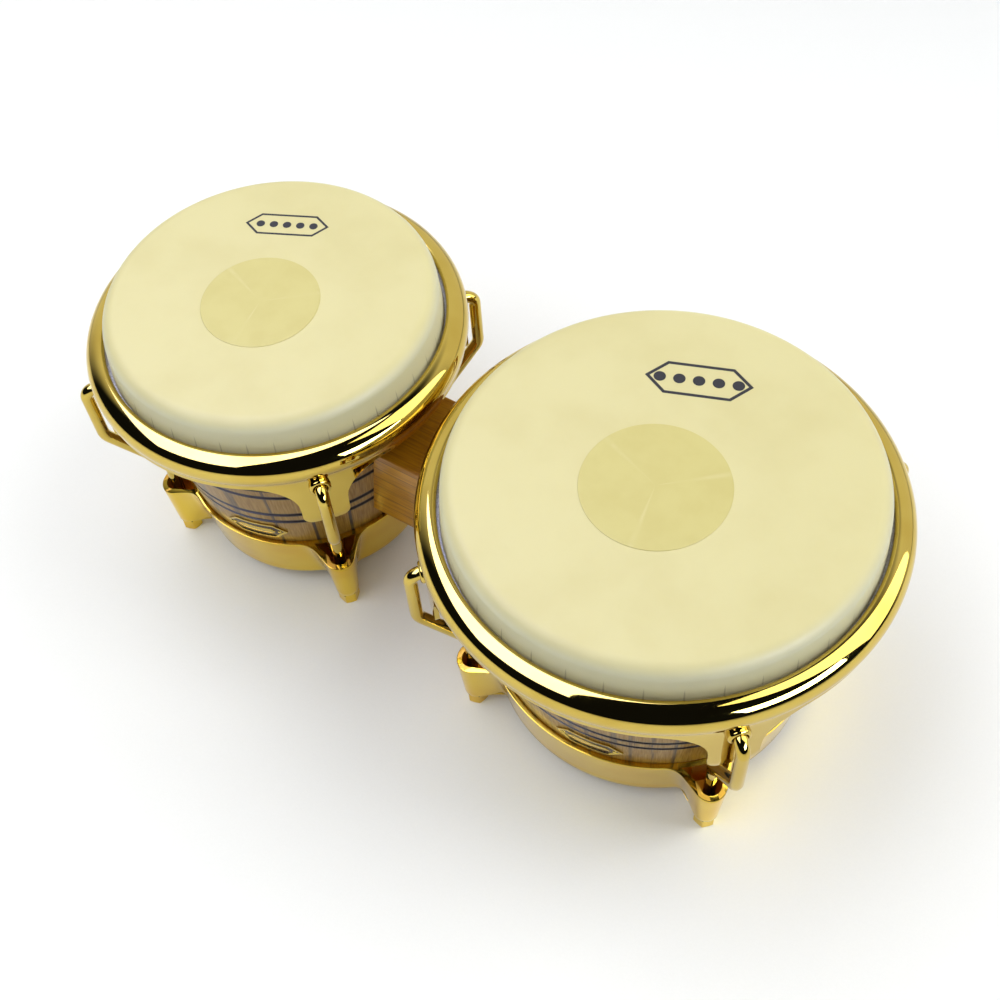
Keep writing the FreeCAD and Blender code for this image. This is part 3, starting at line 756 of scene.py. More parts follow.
@dataclass
class ShellAndHead:
    """Wooden shell, flesh hoop, film, glued patch and printed mark."""

    drum: Drum
    film_thickness: float = 0.4
    crown: float = 7.8
    collar_depth: float = 24.0
    collar_flare: float = 1.4
    edge_round: float = 7.4      # rounding of the shell's bearing edge
    edge_land: float = 2.0       # flat of the bearing edge
    edge_bevel: float = 6.0
    groove_half: float = 0.95    # half width of a turned groove
    hoop_drop: float = 30.0      # playing surface down to the hoop's lower face
    hoop_width: float = 5.2
    hoop_height: float = 6.0
    patch_thickness: float = 0.35
    ink_thickness: float = 0.08
    slot_depth: float = 0.2      # how deep a weep slot is pressed into the collar

    def build(self) -> None:
        """Make and dress every piece."""
        self.make_shell()
        self.make_film()
        self.make_hoop()
        self.make_patch()
        self.make_mark()

    def make_shell(self) -> None:
        """Turn the shell, with two pairs of rounded grooves and a rounded bearing edge."""
        drum = self.drum
        outline: list[Point] = [(drum.foot - 0.6, drum.shell_foot), (drum.foot, drum.shell_foot + 0.6)]
        for depth in reversed(drum.grooves):
            middle = drum.head_height - depth
            for part in range(-4, 5):
                height = middle + self.groove_half * part / 4
                dip = math.cos(part / 4 * math.pi / 2) ** 0.6 if abs(part) < 4 else 0.0
                outline.append((drum.shell_radius(height) - dip, height))
        side, top = drum.side_radius, drum.head_height - self.film_thickness
        curve = self.edge_round
        for step in range(9):
            bend = math.pi / 2 * step / 8
            outline.append((side - curve + curve * math.cos(bend),
                            top - curve + curve * math.sin(bend)))
        outline += [(side - curve - self.edge_land, top),
                    (side - drum.shell_wall, top - self.edge_bevel),
                    (drum.foot - drum.shell_wall, drum.shell_foot)]
        shell = smooth(turned(drum.label("shell_turned"), outline, drum.axis_x, 256))
        wood = StaveWood(drum.axis_x, drum.staves, drum.grooves, drum.head_height,
                         drum.foot - 4.0).make()
        dress(shell, wood, "base", "shell_wood", drum.label("shell"))

    def make_film(self) -> None:
        """Turn the head's film and press a shallow weep slot into its collar at each division."""
        drum, thin = self.drum, self.film_thickness
        top, foot = drum.head_height, drum.head_height - self.collar_depth
        outline: list[Point] = [(0.0, top), (drum.head * 0.5, top)]
        steps = 14
        for step in range(steps + 1):
            bend = math.pi / 2 * (1 - step / steps)
            outline.append((drum.head - self.crown + self.crown * math.cos(bend),
                            top - self.crown + self.crown * math.sin(bend)))
        for share in (0.12, 0.3, 0.5, 0.75, 1.0):
            outline.append((drum.head + self.collar_flare * share,
                            top - self.crown - (self.collar_depth - self.crown) * share))
        outline += [(drum.head + self.collar_flare - thin, foot), (drum.head - thin, top - self.crown)]
        inner = self.crown - thin
        for step in range(1, 9):
            bend = math.pi / 2 * step / 8
            outline.append((drum.head - self.crown + inner * math.cos(bend),
                            top - self.crown + inner * math.sin(bend)))
        outline += [(0.0, top - thin)]
        film = turned(drum.label("film_skin"), outline, drum.axis_x, drum.slots * 8)
        with editing(film):
            mesh = bmesh.from_edit_mesh(film.data)
            for corner in mesh.verts:
                aside = math.atan2(corner.co.y, corner.co.x - drum.axis_x * MM) * drum.slots / math.tau
                below = (top - 10.5) * MM - corner.co.z
                if abs(aside - round(aside)) < 0.01 and below > 0:
                    reach = Vector((corner.co.x - drum.axis_x * MM, corner.co.y, 0.0)).normalized()
                    corner.co -= reach * min(self.slot_depth * MM, below * 0.05)
            bmesh.update_edit_mesh(film.data)
        film_finish = CreamFilm(drum.axis_x, drum.slots, drum.head_height).make()
        dress(smooth(film, 60.0), film_finish, "", "head_film", drum.label("head_film"))
        drum.label("rim_set")
        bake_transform(film)

    def make_hoop(self) -> None:
        """Turn the square hoop under the rim, with eased edges."""
        drum = self.drum
        inside, foot, ease = drum.head + 0.4, drum.head_height - self.hoop_drop, 0.5
        width, tall = self.hoop_width, self.hoop_height
        outline = rounded_path([
            (inside + width / 2, foot, 0.0), (inside + width, foot, ease),
            (inside + width, foot + tall, ease), (inside, foot + tall, ease), (inside, foot, ease),
            (inside + width / 2 - 0.5, foot, 0.0)], 45.0)
        hoop = smooth(turned(drum.label("hoop_turned"), outline, drum.axis_x))
        dress(hoop, STEEL, drum.label("rim_set"), "plated_steel", drum.label("flesh_hoop"))

    def make_patch(self) -> None:
        """Lay the round patch on the film, with its upper edge softened."""
        drum, thick = self.drum, self.patch_thickness
        clear_selection()
        bpy.ops.mesh.primitive_cylinder_add(
            vertices=160, radius=drum.patch * MM, depth=thick * MM,
            location=(drum.axis_x * MM, -drum.patch_shift * MM, (drum.head_height + thick / 2) * MM))
        patch = named(drum.label("patch_film"))
        with editing(patch):
            pick(patch, Part.FACES, lambda face: face.normal.z > 0.9)
            bpy.ops.mesh.inset(thickness=0.5 * MM)
            bpy.ops.mesh.inset(thickness=drum.patch * 0.4 * MM)
            pick(patch, Part.EDGES, lambda edge: all(
                corner.co.z > 0 for corner in edge.verts) and len(edge.link_faces) == 2
                and any(abs(face.normal.z) < 0.1 for face in edge.link_faces))
            bpy.ops.mesh.bevel(offset=0.2 * MM, segments=2)
        smooth(settle(patch), 50.0)
        finish = PatchFilm(drum.axis_x, drum.patch_shift).make()
        dress(patch, finish, "base", "centre_patch", drum.label("centre_patch"))

    def make_mark(self) -> None:
        """Print a plain generic mark: a long six-sided frame round a row of five dots."""
        drum, thick = self.drum, self.ink_thickness
        half_long, half_high = drum.mark_half
        clear_selection()
        bpy.ops.mesh.primitive_circle_add(vertices=6, radius=half_long * MM, fill_type="NGON")
        band = named(drum.label("mark_frame"))
        with editing(band):
            mesh = bmesh.from_edit_mesh(band.data)
            shoulder = half_long - half_high
            corners = [(-half_long, 0.0), (-shoulder, half_high), (shoulder, half_high),
                       (half_long, 0.0), (shoulder, -half_high), (-shoulder, -half_high)]
            mesh.verts.ensure_lookup_table()
            for corner, (x, y) in zip(mesh.verts, reversed(corners)):
                corner.co = (x * MM, y * MM, 0.0)
            bmesh.update_edit_mesh(band.data)
            bpy.ops.mesh.select_all(action="SELECT")
            bpy.ops.mesh.inset(thickness=half_high * 0.16 * MM)
            bpy.ops.mesh.delete(type="ONLY_FACE")
            bpy.ops.mesh.select_all(action="SELECT")
            bpy.ops.mesh.extrude_region_move(TRANSFORM_OT_translate={"value": (0, 0, thick * MM)})
        pieces = [band]
        for place in range(-2, 3):
            clear_selection()
            bpy.ops.mesh.primitive_cylinder_add(
                vertices=28, radius=half_high * 0.3 * MM, depth=thick * MM,
                location=(place * half_high * 0.95 * MM, 0.0, thick / 2 * MM))
            dot = named("mark_dot")
            with editing(dot):
                pick(dot, Part.FACES, lambda face: face.normal.z > 0.9)
                bpy.ops.mesh.inset(thickness=0.15 * MM)
            pieces.append(settle(dot))
        mark = joined(drum.label("printed_mark"), pieces)
        face_outwards(mark)
        mark.data.transform(
            Matrix.Translation((drum.mark_place[0] * MM, drum.mark_place[1] * MM,
                                drum.head_height * MM))
            @ Matrix.Rotation(math.radians(drum.mark_turn), 4, "Z"))
        dress(mark, INK, "base", "head_film")


@dataclass
class RimSet:
    """Pressed rim with four tabs and hook collars, and the four hooks in them."""

    drum: Drum
    bore: float = 2.6          # beyond the collar's radius
    crest: float = 4.5
    bead: float = 10.0
    top: float = 166.0
    seat: float = 159.5
    skirt: float = 12.8        # outside of the skirt beyond the collar's radius
    wall: float = 2.6
    arch_top: float = 147.0
    tab_foot: float = 112.5
    tab_half: float = 13.0
    corner: float = 5.5
    fillet_run: float = 25.0
    fillet_fall: float = 22.0
    eye: float = 143.5
    reach: float = 20.5
    rod: float = 3.5
    rod_foot: float = 3.5      # above the floor
    thread_top: float = 22.5
    thread_pitch: float = 1.25
    thread_depth: float = 0.6
    hook_drop: float = 80.0    # playing surface down to the start of the hook's jog
    jog_slope: float = 1.4     # fall of the jog for each millimetre inwards
    jog_bend: float = 12.0
    hook_bend: float = 6.5

    def build(self) -> None:
        """Make and dress the rim and its hooks."""
        self.make_rim()
        self.make_hooks()

    def tab_outline(self) -> tuple[list[Point], list[float]]:
        """Lower edge of the skirt from a tab's middle to the middle of the arch beside it.

        Returns:
            Points (distance along the skirt, height), and the distance along the skirt's top
            that each one hangs from.
        """
        length = (self.drum.head + self.skirt) * math.pi / TUNING_POINTS
        foot, half, corner = self.tab_foot, self.tab_half, self.corner
        points: list[Point] = [(share * (half - corner) / 4, foot) for share in range(5)]
        for step in range(1, 10):
            bend = math.pi / 2 * step / 9
            points.append((half - corner + corner * math.sin(bend),
                           foot + corner - corner * math.cos(bend)))
        straight = self.arch_top - self.fillet_fall - foot - corner
        points += [(half, foot + corner + straight * step / 4) for step in range(1, 4)]
        for step in range(25):
            bend = math.pi / 2 * step / 24
            points.append((half + self.fillet_run * (1 - math.cos(bend)),
                           self.arch_top - self.fillet_fall * (1 - math.sin(bend))))
        curve = len(points)
        end = half + self.fillet_run
        points += [(end + (length - end) * step / 18, self.arch_top) for step in range(1, 19)]
        hang = [end * index / (curve - 1) for index in range(curve)]
        hang += [point[0] for point in points[curve:]]
        return points, hang

    def make_rim(self) -> None:
        """Form the rim and join the hook collars to it."""
        drum = self.drum
        around = drum.head + self.skirt
        points, hang = self.tab_outline()
        centre = (drum.head + self.crest, self.top - self.bead)
        lip = self.crest - self.bore
        outside: list[Point] = [(drum.head + self.bore, self.seat),
                                (drum.head + self.bore, (self.seat + self.top) / 2)]
        for step in range(5):
            bend = math.pi / 2 * step / 4
            outside.append((drum.head + self.crest - lip * math.cos(bend),
                            self.top - lip + lip * math.sin(bend)))
        low = -math.acos((self.skirt - self.crest) / self.bead)
        turn_end = low + math.radians(12.0)
        for step in range(1, 25):
            bend = math.pi / 2 + (turn_end - math.pi / 2) * step / 24
            outside.append((centre[0] + self.bead * math.cos(bend),
                            centre[1] + self.bead * math.sin(bend)))
        last = outside[-1]
        skirt_top = self.arch_top + 2.0
        for share in (0.35, 0.7, 1.0):
            outside.append((last[0] + (around - last[0]) * math.sin(share * math.pi / 2),
                            last[1] + (skirt_top - last[1]) * share))
        hollow = self.bead - self.wall
        inner_skirt = around - self.wall
        inside: list[Point] = [(inner_skirt, skirt_top)]
        start = -math.acos(min(1.0, (inner_skirt - centre[0]) / hollow))
        for step in range(13):
            bend = start + (math.pi * 0.47 - start) * step / 12
            inside.append((centre[0] + hollow * math.cos(bend),
                           centre[1] + hollow * math.sin(bend)))
        inside += [(drum.head + self.bore + self.wall, self.seat + 2.0),
                   (drum.head + self.bore + self.wall, self.seat)]
        rows = 9
        sections = []
        last_column = len(points) - 1
        for tuning in drum.tuning_angles():
            for column in range(-last_column + 1, last_column + 1):
                side = -1.0 if column < 0 else 1.0
                (along, height), top_along = points[abs(column)], hang[abs(column)]
                base = math.radians(tuning) + side * top_along / around
                down = [(around, math.radians(tuning) + side * (
                    top_along + (along - top_along) * row / rows) / around,
                    skirt_top + (height - skirt_top) * row / rows) for row in range(1, rows + 1)]
                ring = [(radius, base, level) for radius, level in outside] + down
                ring += [(inner_skirt, angle, level) for _, angle, level in reversed(down)]
                ring += [(radius, base, level) for radius, level in inside]
                sections.append([(drum.axis_x + radius * math.cos(angle),
                                  radius * math.sin(angle), level)
                                 for radius, angle, level in ring])
        rim = formed_ring(drum.label("rim_blank"), np.array(sections))
        ease_edges(rim, 0.5, 2, 55.0)
        collar = self.make_collar()
        pieces = [rim] + [placed_copy(collar, "collar", drum.about_axis(angle))
                          for angle in drum.tuning_angles()]
        bpy.data.objects.remove(collar)
        rim = smooth(joined(drum.label("rim_pressed"), pieces), 35.0)
        dress(rim, GOLD, drum.label("rim_set"), "gold_plate", drum.label("rim"))

    def make_collar(self) -> bpy.types.Object:
        """Turn the raised collar round a hook's hole and lay its axis along X."""
        profile = rounded_path([
            (5.9, -1.5, 0.0), (5.9, 2.6, 1.5), (4.0, 2.6, 0.5), (3.75, -1.5, 0.0)], 22.5)
        collar = turned("collar_model", profile, 0.0, 48)
        place = Vector(((self.drum.head + self.skirt) * MM, 0.0, self.eye * MM))
        collar.data.transform(Matrix.Translation(place) @ Matrix.Rotation(math.pi / 2, 4, "Y"))
        return collar

    def make_hooks(self) -> None:
        """Draw one hook with its screw thread and copy it to every tuning point."""
        drum = self.drum
        out = drum.head + self.reach
        jog_top = drum.head_height - self.hook_drop
        jog_foot = jog_top - self.jog_slope * (out - drum.shaft)
        path = rounded_path([
            (drum.shaft, self.thread_top + 1.0, 0.0), (drum.shaft, jog_foot, self.jog_bend),
            (out, jog_top, self.jog_bend), (out, self.eye, self.hook_bend),
            (drum.head + self.skirt - 5.0, self.eye, 0.0)], 7.5)
        stations: list[tuple[float, float, float]] = [
            (drum.shaft, self.rod_foot, self.rod - 1.0),
            (drum.shaft, self.rod_foot + 0.9, self.rod - 0.1)]
        level = self.rod_foot + 1.4
        while level < self.thread_top - 1.0:
            stations += [(drum.shaft, level, self.rod - 0.02 - self.thread_depth),
                         (drum.shaft, level + self.thread_pitch / 2, self.rod - 0.02)]
            level += self.thread_pitch
        stations += [(drum.shaft, self.thread_top, self.rod)]
        stations += [(x, z, self.rod) for x, z in path]
        model = smooth(drawn_rod("hook_model", stations), 50.0)
        for number, angle in enumerate(drum.tuning_angles(), start=1):
            hook = placed_copy(model, drum.label(f"hook_rod_{number}"), drum.about_axis(angle))
            dress(hook, GOLD, drum.label("rim_set"), "gold_plate", drum.label(f"hook_{number}"))
        bpy.data.objects.remove(model)


@dataclass
class BottomRing:
    """Cast band round the shell's foot that flows into four hollow ears, with washers and nuts."""

    drum: Drum
    top: float = 49.5
    band_foot: float = 12.5
    ear_foot: float = 10.0
    wall: float = 3.0
    lip: float = 7.0
    ear_half: tuple[float, float] = (16.0, 8.4)     # at the top and at the foot
    ear_tip: tuple[float, float] = (9.6, 6.9)
    pocket_floor: float = 19.5
    mouth_fall: float = 6.0
    fillet: float = 5.0
    washer_radius: float = 6.4
    hole: float = 3.75              # hole through the washers
    nut_flats: float = 11.0
    nut_top: float = 8.8
    columns: int = 72

    def build(self) -> None:
        """Make and dress the ring, the washers and the nuts."""
        self.make_ring()
        self.make_washers()
        self.make_nuts()

    def band(self, height: float) -> float:
        """Outside of the band at a height."""
        return self.drum.shell_radius(max(height, self.drum.shell_foot)) + self.wall

    def ear(self, height: float, inset: float = 0.0) -> tuple[float, float]:
        """Half width and tip radius of an ear at a height."""
        down = (self.top - height) / (self.top - self.ear_foot)
        half = self.ear_half[0] + (self.ear_half[1] - self.ear_half[0]) * down - inset * 1.2
        tip = self.ear_tip[0] + (self.ear_tip[1] - self.ear_tip[0]) * down - inset
        return half, tip

    def ear_distance(self, x: np.ndarray, y: np.ndarray, height: float) -> np.ndarray:
        """Distance outside an ear whose sides run tangent into its round tip."""
        half, tip = self.ear(height)
        inner = self.band(height) - self.wall / 2
        run = self.drum.shaft - inner
        span = run * run + half * half
        side = span - tip * tip
        tip_x = inner + (run * side + half * math.sqrt(side) * tip) / span
        tip_y = half + (run * math.sqrt(side) * tip - half * side) / span
        way = np.array([tip_x - inner, tip_y - half])
        way = way / np.linalg.norm(way)
        normal = np.array([-way[1], way[0]])
        beside = (x - inner) * normal[0] + (y - half) * normal[1]
        past = (x - tip_x) * way[0] + (y - tip_y) * way[1] > 0
        return np.where(past, np.hypot(x - self.drum.shaft, y) - tip, beside)

    def outline(self, height: float) -> np.ndarray:
        """Outside of the ring from an ear's tip to midway between ears, seen from above.

        Args:
            height: Level of the outline.

        Returns:
            Array (columns + 1, 2) of angle and radius, evenly spaced along the line.
        """
        angles = np.concatenate([np.linspace(0.0, 0.35, 1400), np.linspace(0.351, math.pi / 4, 200)])
        radii = np.full(angles.shape, self.drum.shaft + self.ear_tip[0] + 3.0)
        inner = np.full(angles.shape, self.band(height) - 0.5)
        steps = np.linspace(0.0, 1.0, 400)[:, None]
        reach = radii + (inner - radii) * steps
        x, y = reach * np.cos(angles), reach * np.sin(angles)
        band, ear = reach - self.band(height), self.ear_distance(x, y, height)
        near = np.clip(1.0 - np.abs(band - ear) / self.fillet, 0.0, 1.0)
        outside = np.minimum(band, ear) - near ** 2 * self.fillet / 4
        first = np.argmax(outside <= 0.0, axis=0)
        first = np.clip(first, 1, None)
        index = np.arange(len(angles))
        high, low = outside[first - 1, index], outside[first, index]
        share = high / (high - low + 1e-9)
        radius = reach[first - 1, index] + (reach[first, index] - reach[first - 1, index]) * share
        px, py = radius * np.cos(angles), radius * np.sin(angles)
        length = np.concatenate([[0.0], np.cumsum(np.hypot(np.diff(px), np.diff(py)))])
        wanted = np.linspace(0.0, length[-1], self.columns + 1)
        return np.stack([np.interp(wanted, length, angles), np.interp(wanted, length, radius)], 1)

    def make_ring(self) -> None:
        """Form the ring, then hollow its ears and drill them."""
        drum = self.drum
        levels = np.linspace(self.ear_foot - 1.0, self.top + 1.0, 12)
        table = np.array([self.outline(level) for level in levels])
        rows = 12
        foot = drum.foot

        def place(column: int, height: float) -> tuple[float, float]:
            """Angle and radius of the outside in one column at a height."""
            return (float(np.interp(height, levels, table[:, column, 0])),
                    float(np.interp(height, levels, table[:, column, 1])))

        half_sections = []
        reach = drum.shaft + self.ear_tip[0]
        for column in range(self.columns + 1):
            _, upper = place(column, self.top)
            out = (upper - self.band(self.top)) / (reach - self.band(self.top))
            height_top = self.top - self.mouth_fall * min(max(out, 0.0), 1.0)
            _, lower = place(column, self.band_foot)
            share = min(max((lower - self.band(self.band_foot) - 1.0) / 8.0, 0.0), 1.0)
            share = share * share * (3 - 2 * share)
            height_foot = self.band_foot + (self.ear_foot - self.band_foot) * share
            ease = 0.45
            angle_top, radius_top = place(column, height_top)
            ring = [(0.0, drum.shell_radius(self.top) + 0.05, self.top - 0.2),
                    (0.0, drum.shell_radius(self.top) + 0.4, self.top),
                    (angle_top, radius_top - ease, height_top),
                    (angle_top, radius_top - ease * 0.3, height_top - ease * 0.3)]
            for row in range(rows + 1):
                height = height_top - ease + (height_foot + 2 * ease - height_top) * row / rows
                ring.append((*place(column, height), height))
            angle_foot, radius_foot = place(column, height_foot)
            ring += [(angle_foot, radius_foot - ease * 0.3, height_foot + ease * 0.3),
                     (angle_foot, radius_foot - ease, height_foot),
                     (0.0, foot + 0.8, height_foot), (0.0, foot - 0.4, self.band_foot),
                     (0.0, foot - self.lip, self.band_foot),
                     (0.0, foot - self.lip, drum.shell_foot - 0.05),
                     (0.0, foot + 0.05, drum.shell_foot - 0.05)]
            inner_angle = angle_top
            half_sections.append([(angle if angle or column == 0 else inner_angle, radius, height)
                                  for angle, radius, height in ring])
        sections = []
        for tuning in drum.tuning_angles():
            for column in range(-self.columns + 1, self.columns + 1):
                side = -1.0 if column < 0 else 1.0
                sections.append([
                    (drum.axis_x + radius * math.cos(math.radians(tuning) + side * angle),
                     radius * math.sin(math.radians(tuning) + side * angle), height)
                    for angle, radius, height in half_sections[abs(column)]])
        ring_piece = formed_ring(drum.label("ring_cast"), np.array(sections))
        pocket = self.make_pocket()
        for angle in drum.tuning_angles():
            cut_away(ring_piece, placed_copy(pocket, "pocket", drum.about_axis(angle)))
        bpy.data.objects.remove(pocket)
        smooth(ring_piece, 38.0)
        dress(ring_piece, CAST_GOLD, "base", "gold_plate", drum.label("bottom_ring"))
        self.leave_pockets_rough(ring_piece)

    def leave_pockets_rough(self, ring_piece: bpy.types.Object) -> None:
        """Give the inside of each pocket the rougher finish that casting leaves."""
        drum = self.drum
        ring_piece.data.materials.append(RAW_CAST)
        for face in ring_piece.data.polygons:
            height = face.center.z / MM
            if height < self.pocket_floor - 0.1:
                continue
            for tuning in drum.tuning_angles():
                spot = drum.about_axis(tuning).inverted() @ face.center / MM
                inside = self.ear_distance(spot.x, abs(spot.y), height)
                if spot.x > self.band(height) - 0.2 and inside < -0.8 * self.wall:
                    face.material_index = 1

    def make_pocket(self) -> bpy.types.Object:
        """The hollow of an ear with the rod's hole under it, as one closed cutter on +X."""
        drum = self.drum

        def ring(height: float) -> list[Vector]:
            """Corners of the hollow at one level."""
            half, tip = self.ear(height, self.wall)
            inner = self.band(height) + 0.02
            run = drum.shaft - inner
            span = run * run + half * half
            side = span - tip * tip
            tip_x = inner + (run * side + half * math.sqrt(side) * tip) / span
            tip_y = half + (run * math.sqrt(side) * tip - half * side) / span
            bend = math.atan2(tip_y, tip_x - drum.shaft)
            corners = [Vector((drum.shaft + tip * math.cos(a), tip * math.sin(a), height))
                       for a in np.linspace(-bend, bend, 25)]
            wide = math.asin(half / inner)
            corners += [Vector((inner * math.cos(a), inner * math.sin(a), height))
                        for a in np.linspace(wide, -wide, 15)]
            return corners

        levels = [self.pocket_floor, self.pocket_floor + 0.4, self.pocket_floor + 1.5,
                  self.top + 6.0]
        shrink = [0.80, 0.93, 1.0, 1.0]
        clear_selection()
        bpy.ops.mesh.primitive_circle_add(vertices=40, radius=MM, fill_type="NGON")
        cutter = named("pocket_model")
        with editing(cutter):
            for index, (level, scale) in enumerate(zip(levels, shrink)):
                spots = ring(level)
                middle = sum(spots, Vector()) / len(spots)
                spots = [(middle + (spot - middle) * scale) * MM for spot in spots]
                mesh = bmesh.from_edit_mesh(cutter.data)
                if index == 0:
                    mesh.verts.ensure_lookup_table()
                    corners = list(mesh.verts)
                else:
                    bpy.ops.mesh.extrude_region_move(
                        TRANSFORM_OT_translate={"value": (0.0, 0.0, 0.0)})
                    mesh = bmesh.from_edit_mesh(cutter.data)
                    chosen = [corner for corner in mesh.verts if corner.select]
                    corners = [min(chosen, key=lambda c, s=spot: (c.co - s).length_squared)
                               for spot in before]
                for corner, spot in zip(corners, spots):
                    corner.co = spot
                before = spots
            bmesh.update_edit_mesh(cutter.data)
        face_outwards(cutter)
        clear_selection()
        bpy.ops.mesh.primitive_cylinder_add(vertices=40, radius=3.72 * MM, depth=30.0 * MM,
                                            location=(drum.shaft * MM, 0.0, 20.0 * MM))
        drill = settle(named("drill"))
        finish_with(cutter, "BOOLEAN", operation="UNION", solver="EXACT", object=drill)
        bpy.data.objects.remove(drill)
        return cutter

    def make_washers(self) -> None:
        """Turn one washer and copy it under each ear."""
        drum = self.drum
        profile = rounded_path([
            (5.0, self.nut_top, 0.0), (self.washer_radius, self.nut_top, 0.35),
            (self.washer_radius, self.ear_foot, 0.35), (self.hole, self.ear_foot, 0.25),
            (self.hole, self.nut_top, 0.25), (4.8, self.nut_top, 0.0)], 45.0)
        model = turned("washer_model", profile, 0.0, 48)
        model.data.transform(Matrix.Translation((drum.shaft * MM, 0.0, 0.0)))
        pieces = [placed_copy(model, "washer", drum.about_axis(a)) for a in drum.tuning_angles()]
        bpy.data.objects.remove(model)
        washers = smooth(joined(drum.label("washer_set"), pieces))
        dress(washers, CAST_GOLD, "base", "gold_plate", drum.label("washers"))

    def make_nuts(self) -> None:
        """Cut one chamfered hexagon nut and copy it to every tuning point."""
        drum = self.drum
        corner, tall = self.nut_flats / math.sqrt(3.0), self.nut_top
        clear_selection()
        bpy.ops.mesh.primitive_cylinder_add(vertices=6, radius=corner * MM, depth=tall * MM,
                                            rotation=(0.0, 0.0, math.pi / 6),
                                            location=(0.0, 0.0, tall / 2 * MM))
        model = settle(named("nut_model"))
        barrel = turned("nut_barrel", [
            (0.0, -0.01), (corner - 0.85, -0.01), (corner + 0.1, 0.75),
            (corner + 0.1, tall - 0.75), (corner - 0.85, tall + 0.01), (0.0, tall + 0.01)], 0.0, 72)
        cut_away(model, barrel, keep_inside=True)
        bore = turned("nut_bore", [(0.0, -1.0), (4.3, -1.0), (3.56, 0.5), (3.56, tall - 0.5),
                                   (4.3, tall + 1.0), (0.0, tall + 1.0)], 0.0, 48)
        cut_away(model, bore)
        model.data.transform(Matrix.Rotation(math.pi / 6, 4, "Z"))
        model.data.transform(Matrix.Translation((drum.shaft * MM, 0.0, 0.0)))
        ease_edges(model, 0.18, 2, 28.0)
        smooth(model, 25.0)
        for number, angle in enumerate(drum.tuning_angles(), start=1):
            nut = placed_copy(model, drum.label(f"nut_hex_{number}"), drum.about_axis(angle))
            dress(nut, CAST_GOLD, drum.label(f"nut_{number}"), "gold_plate",
                  drum.label(f"nut_{number}"))
        bpy.data.objects.remove(model)


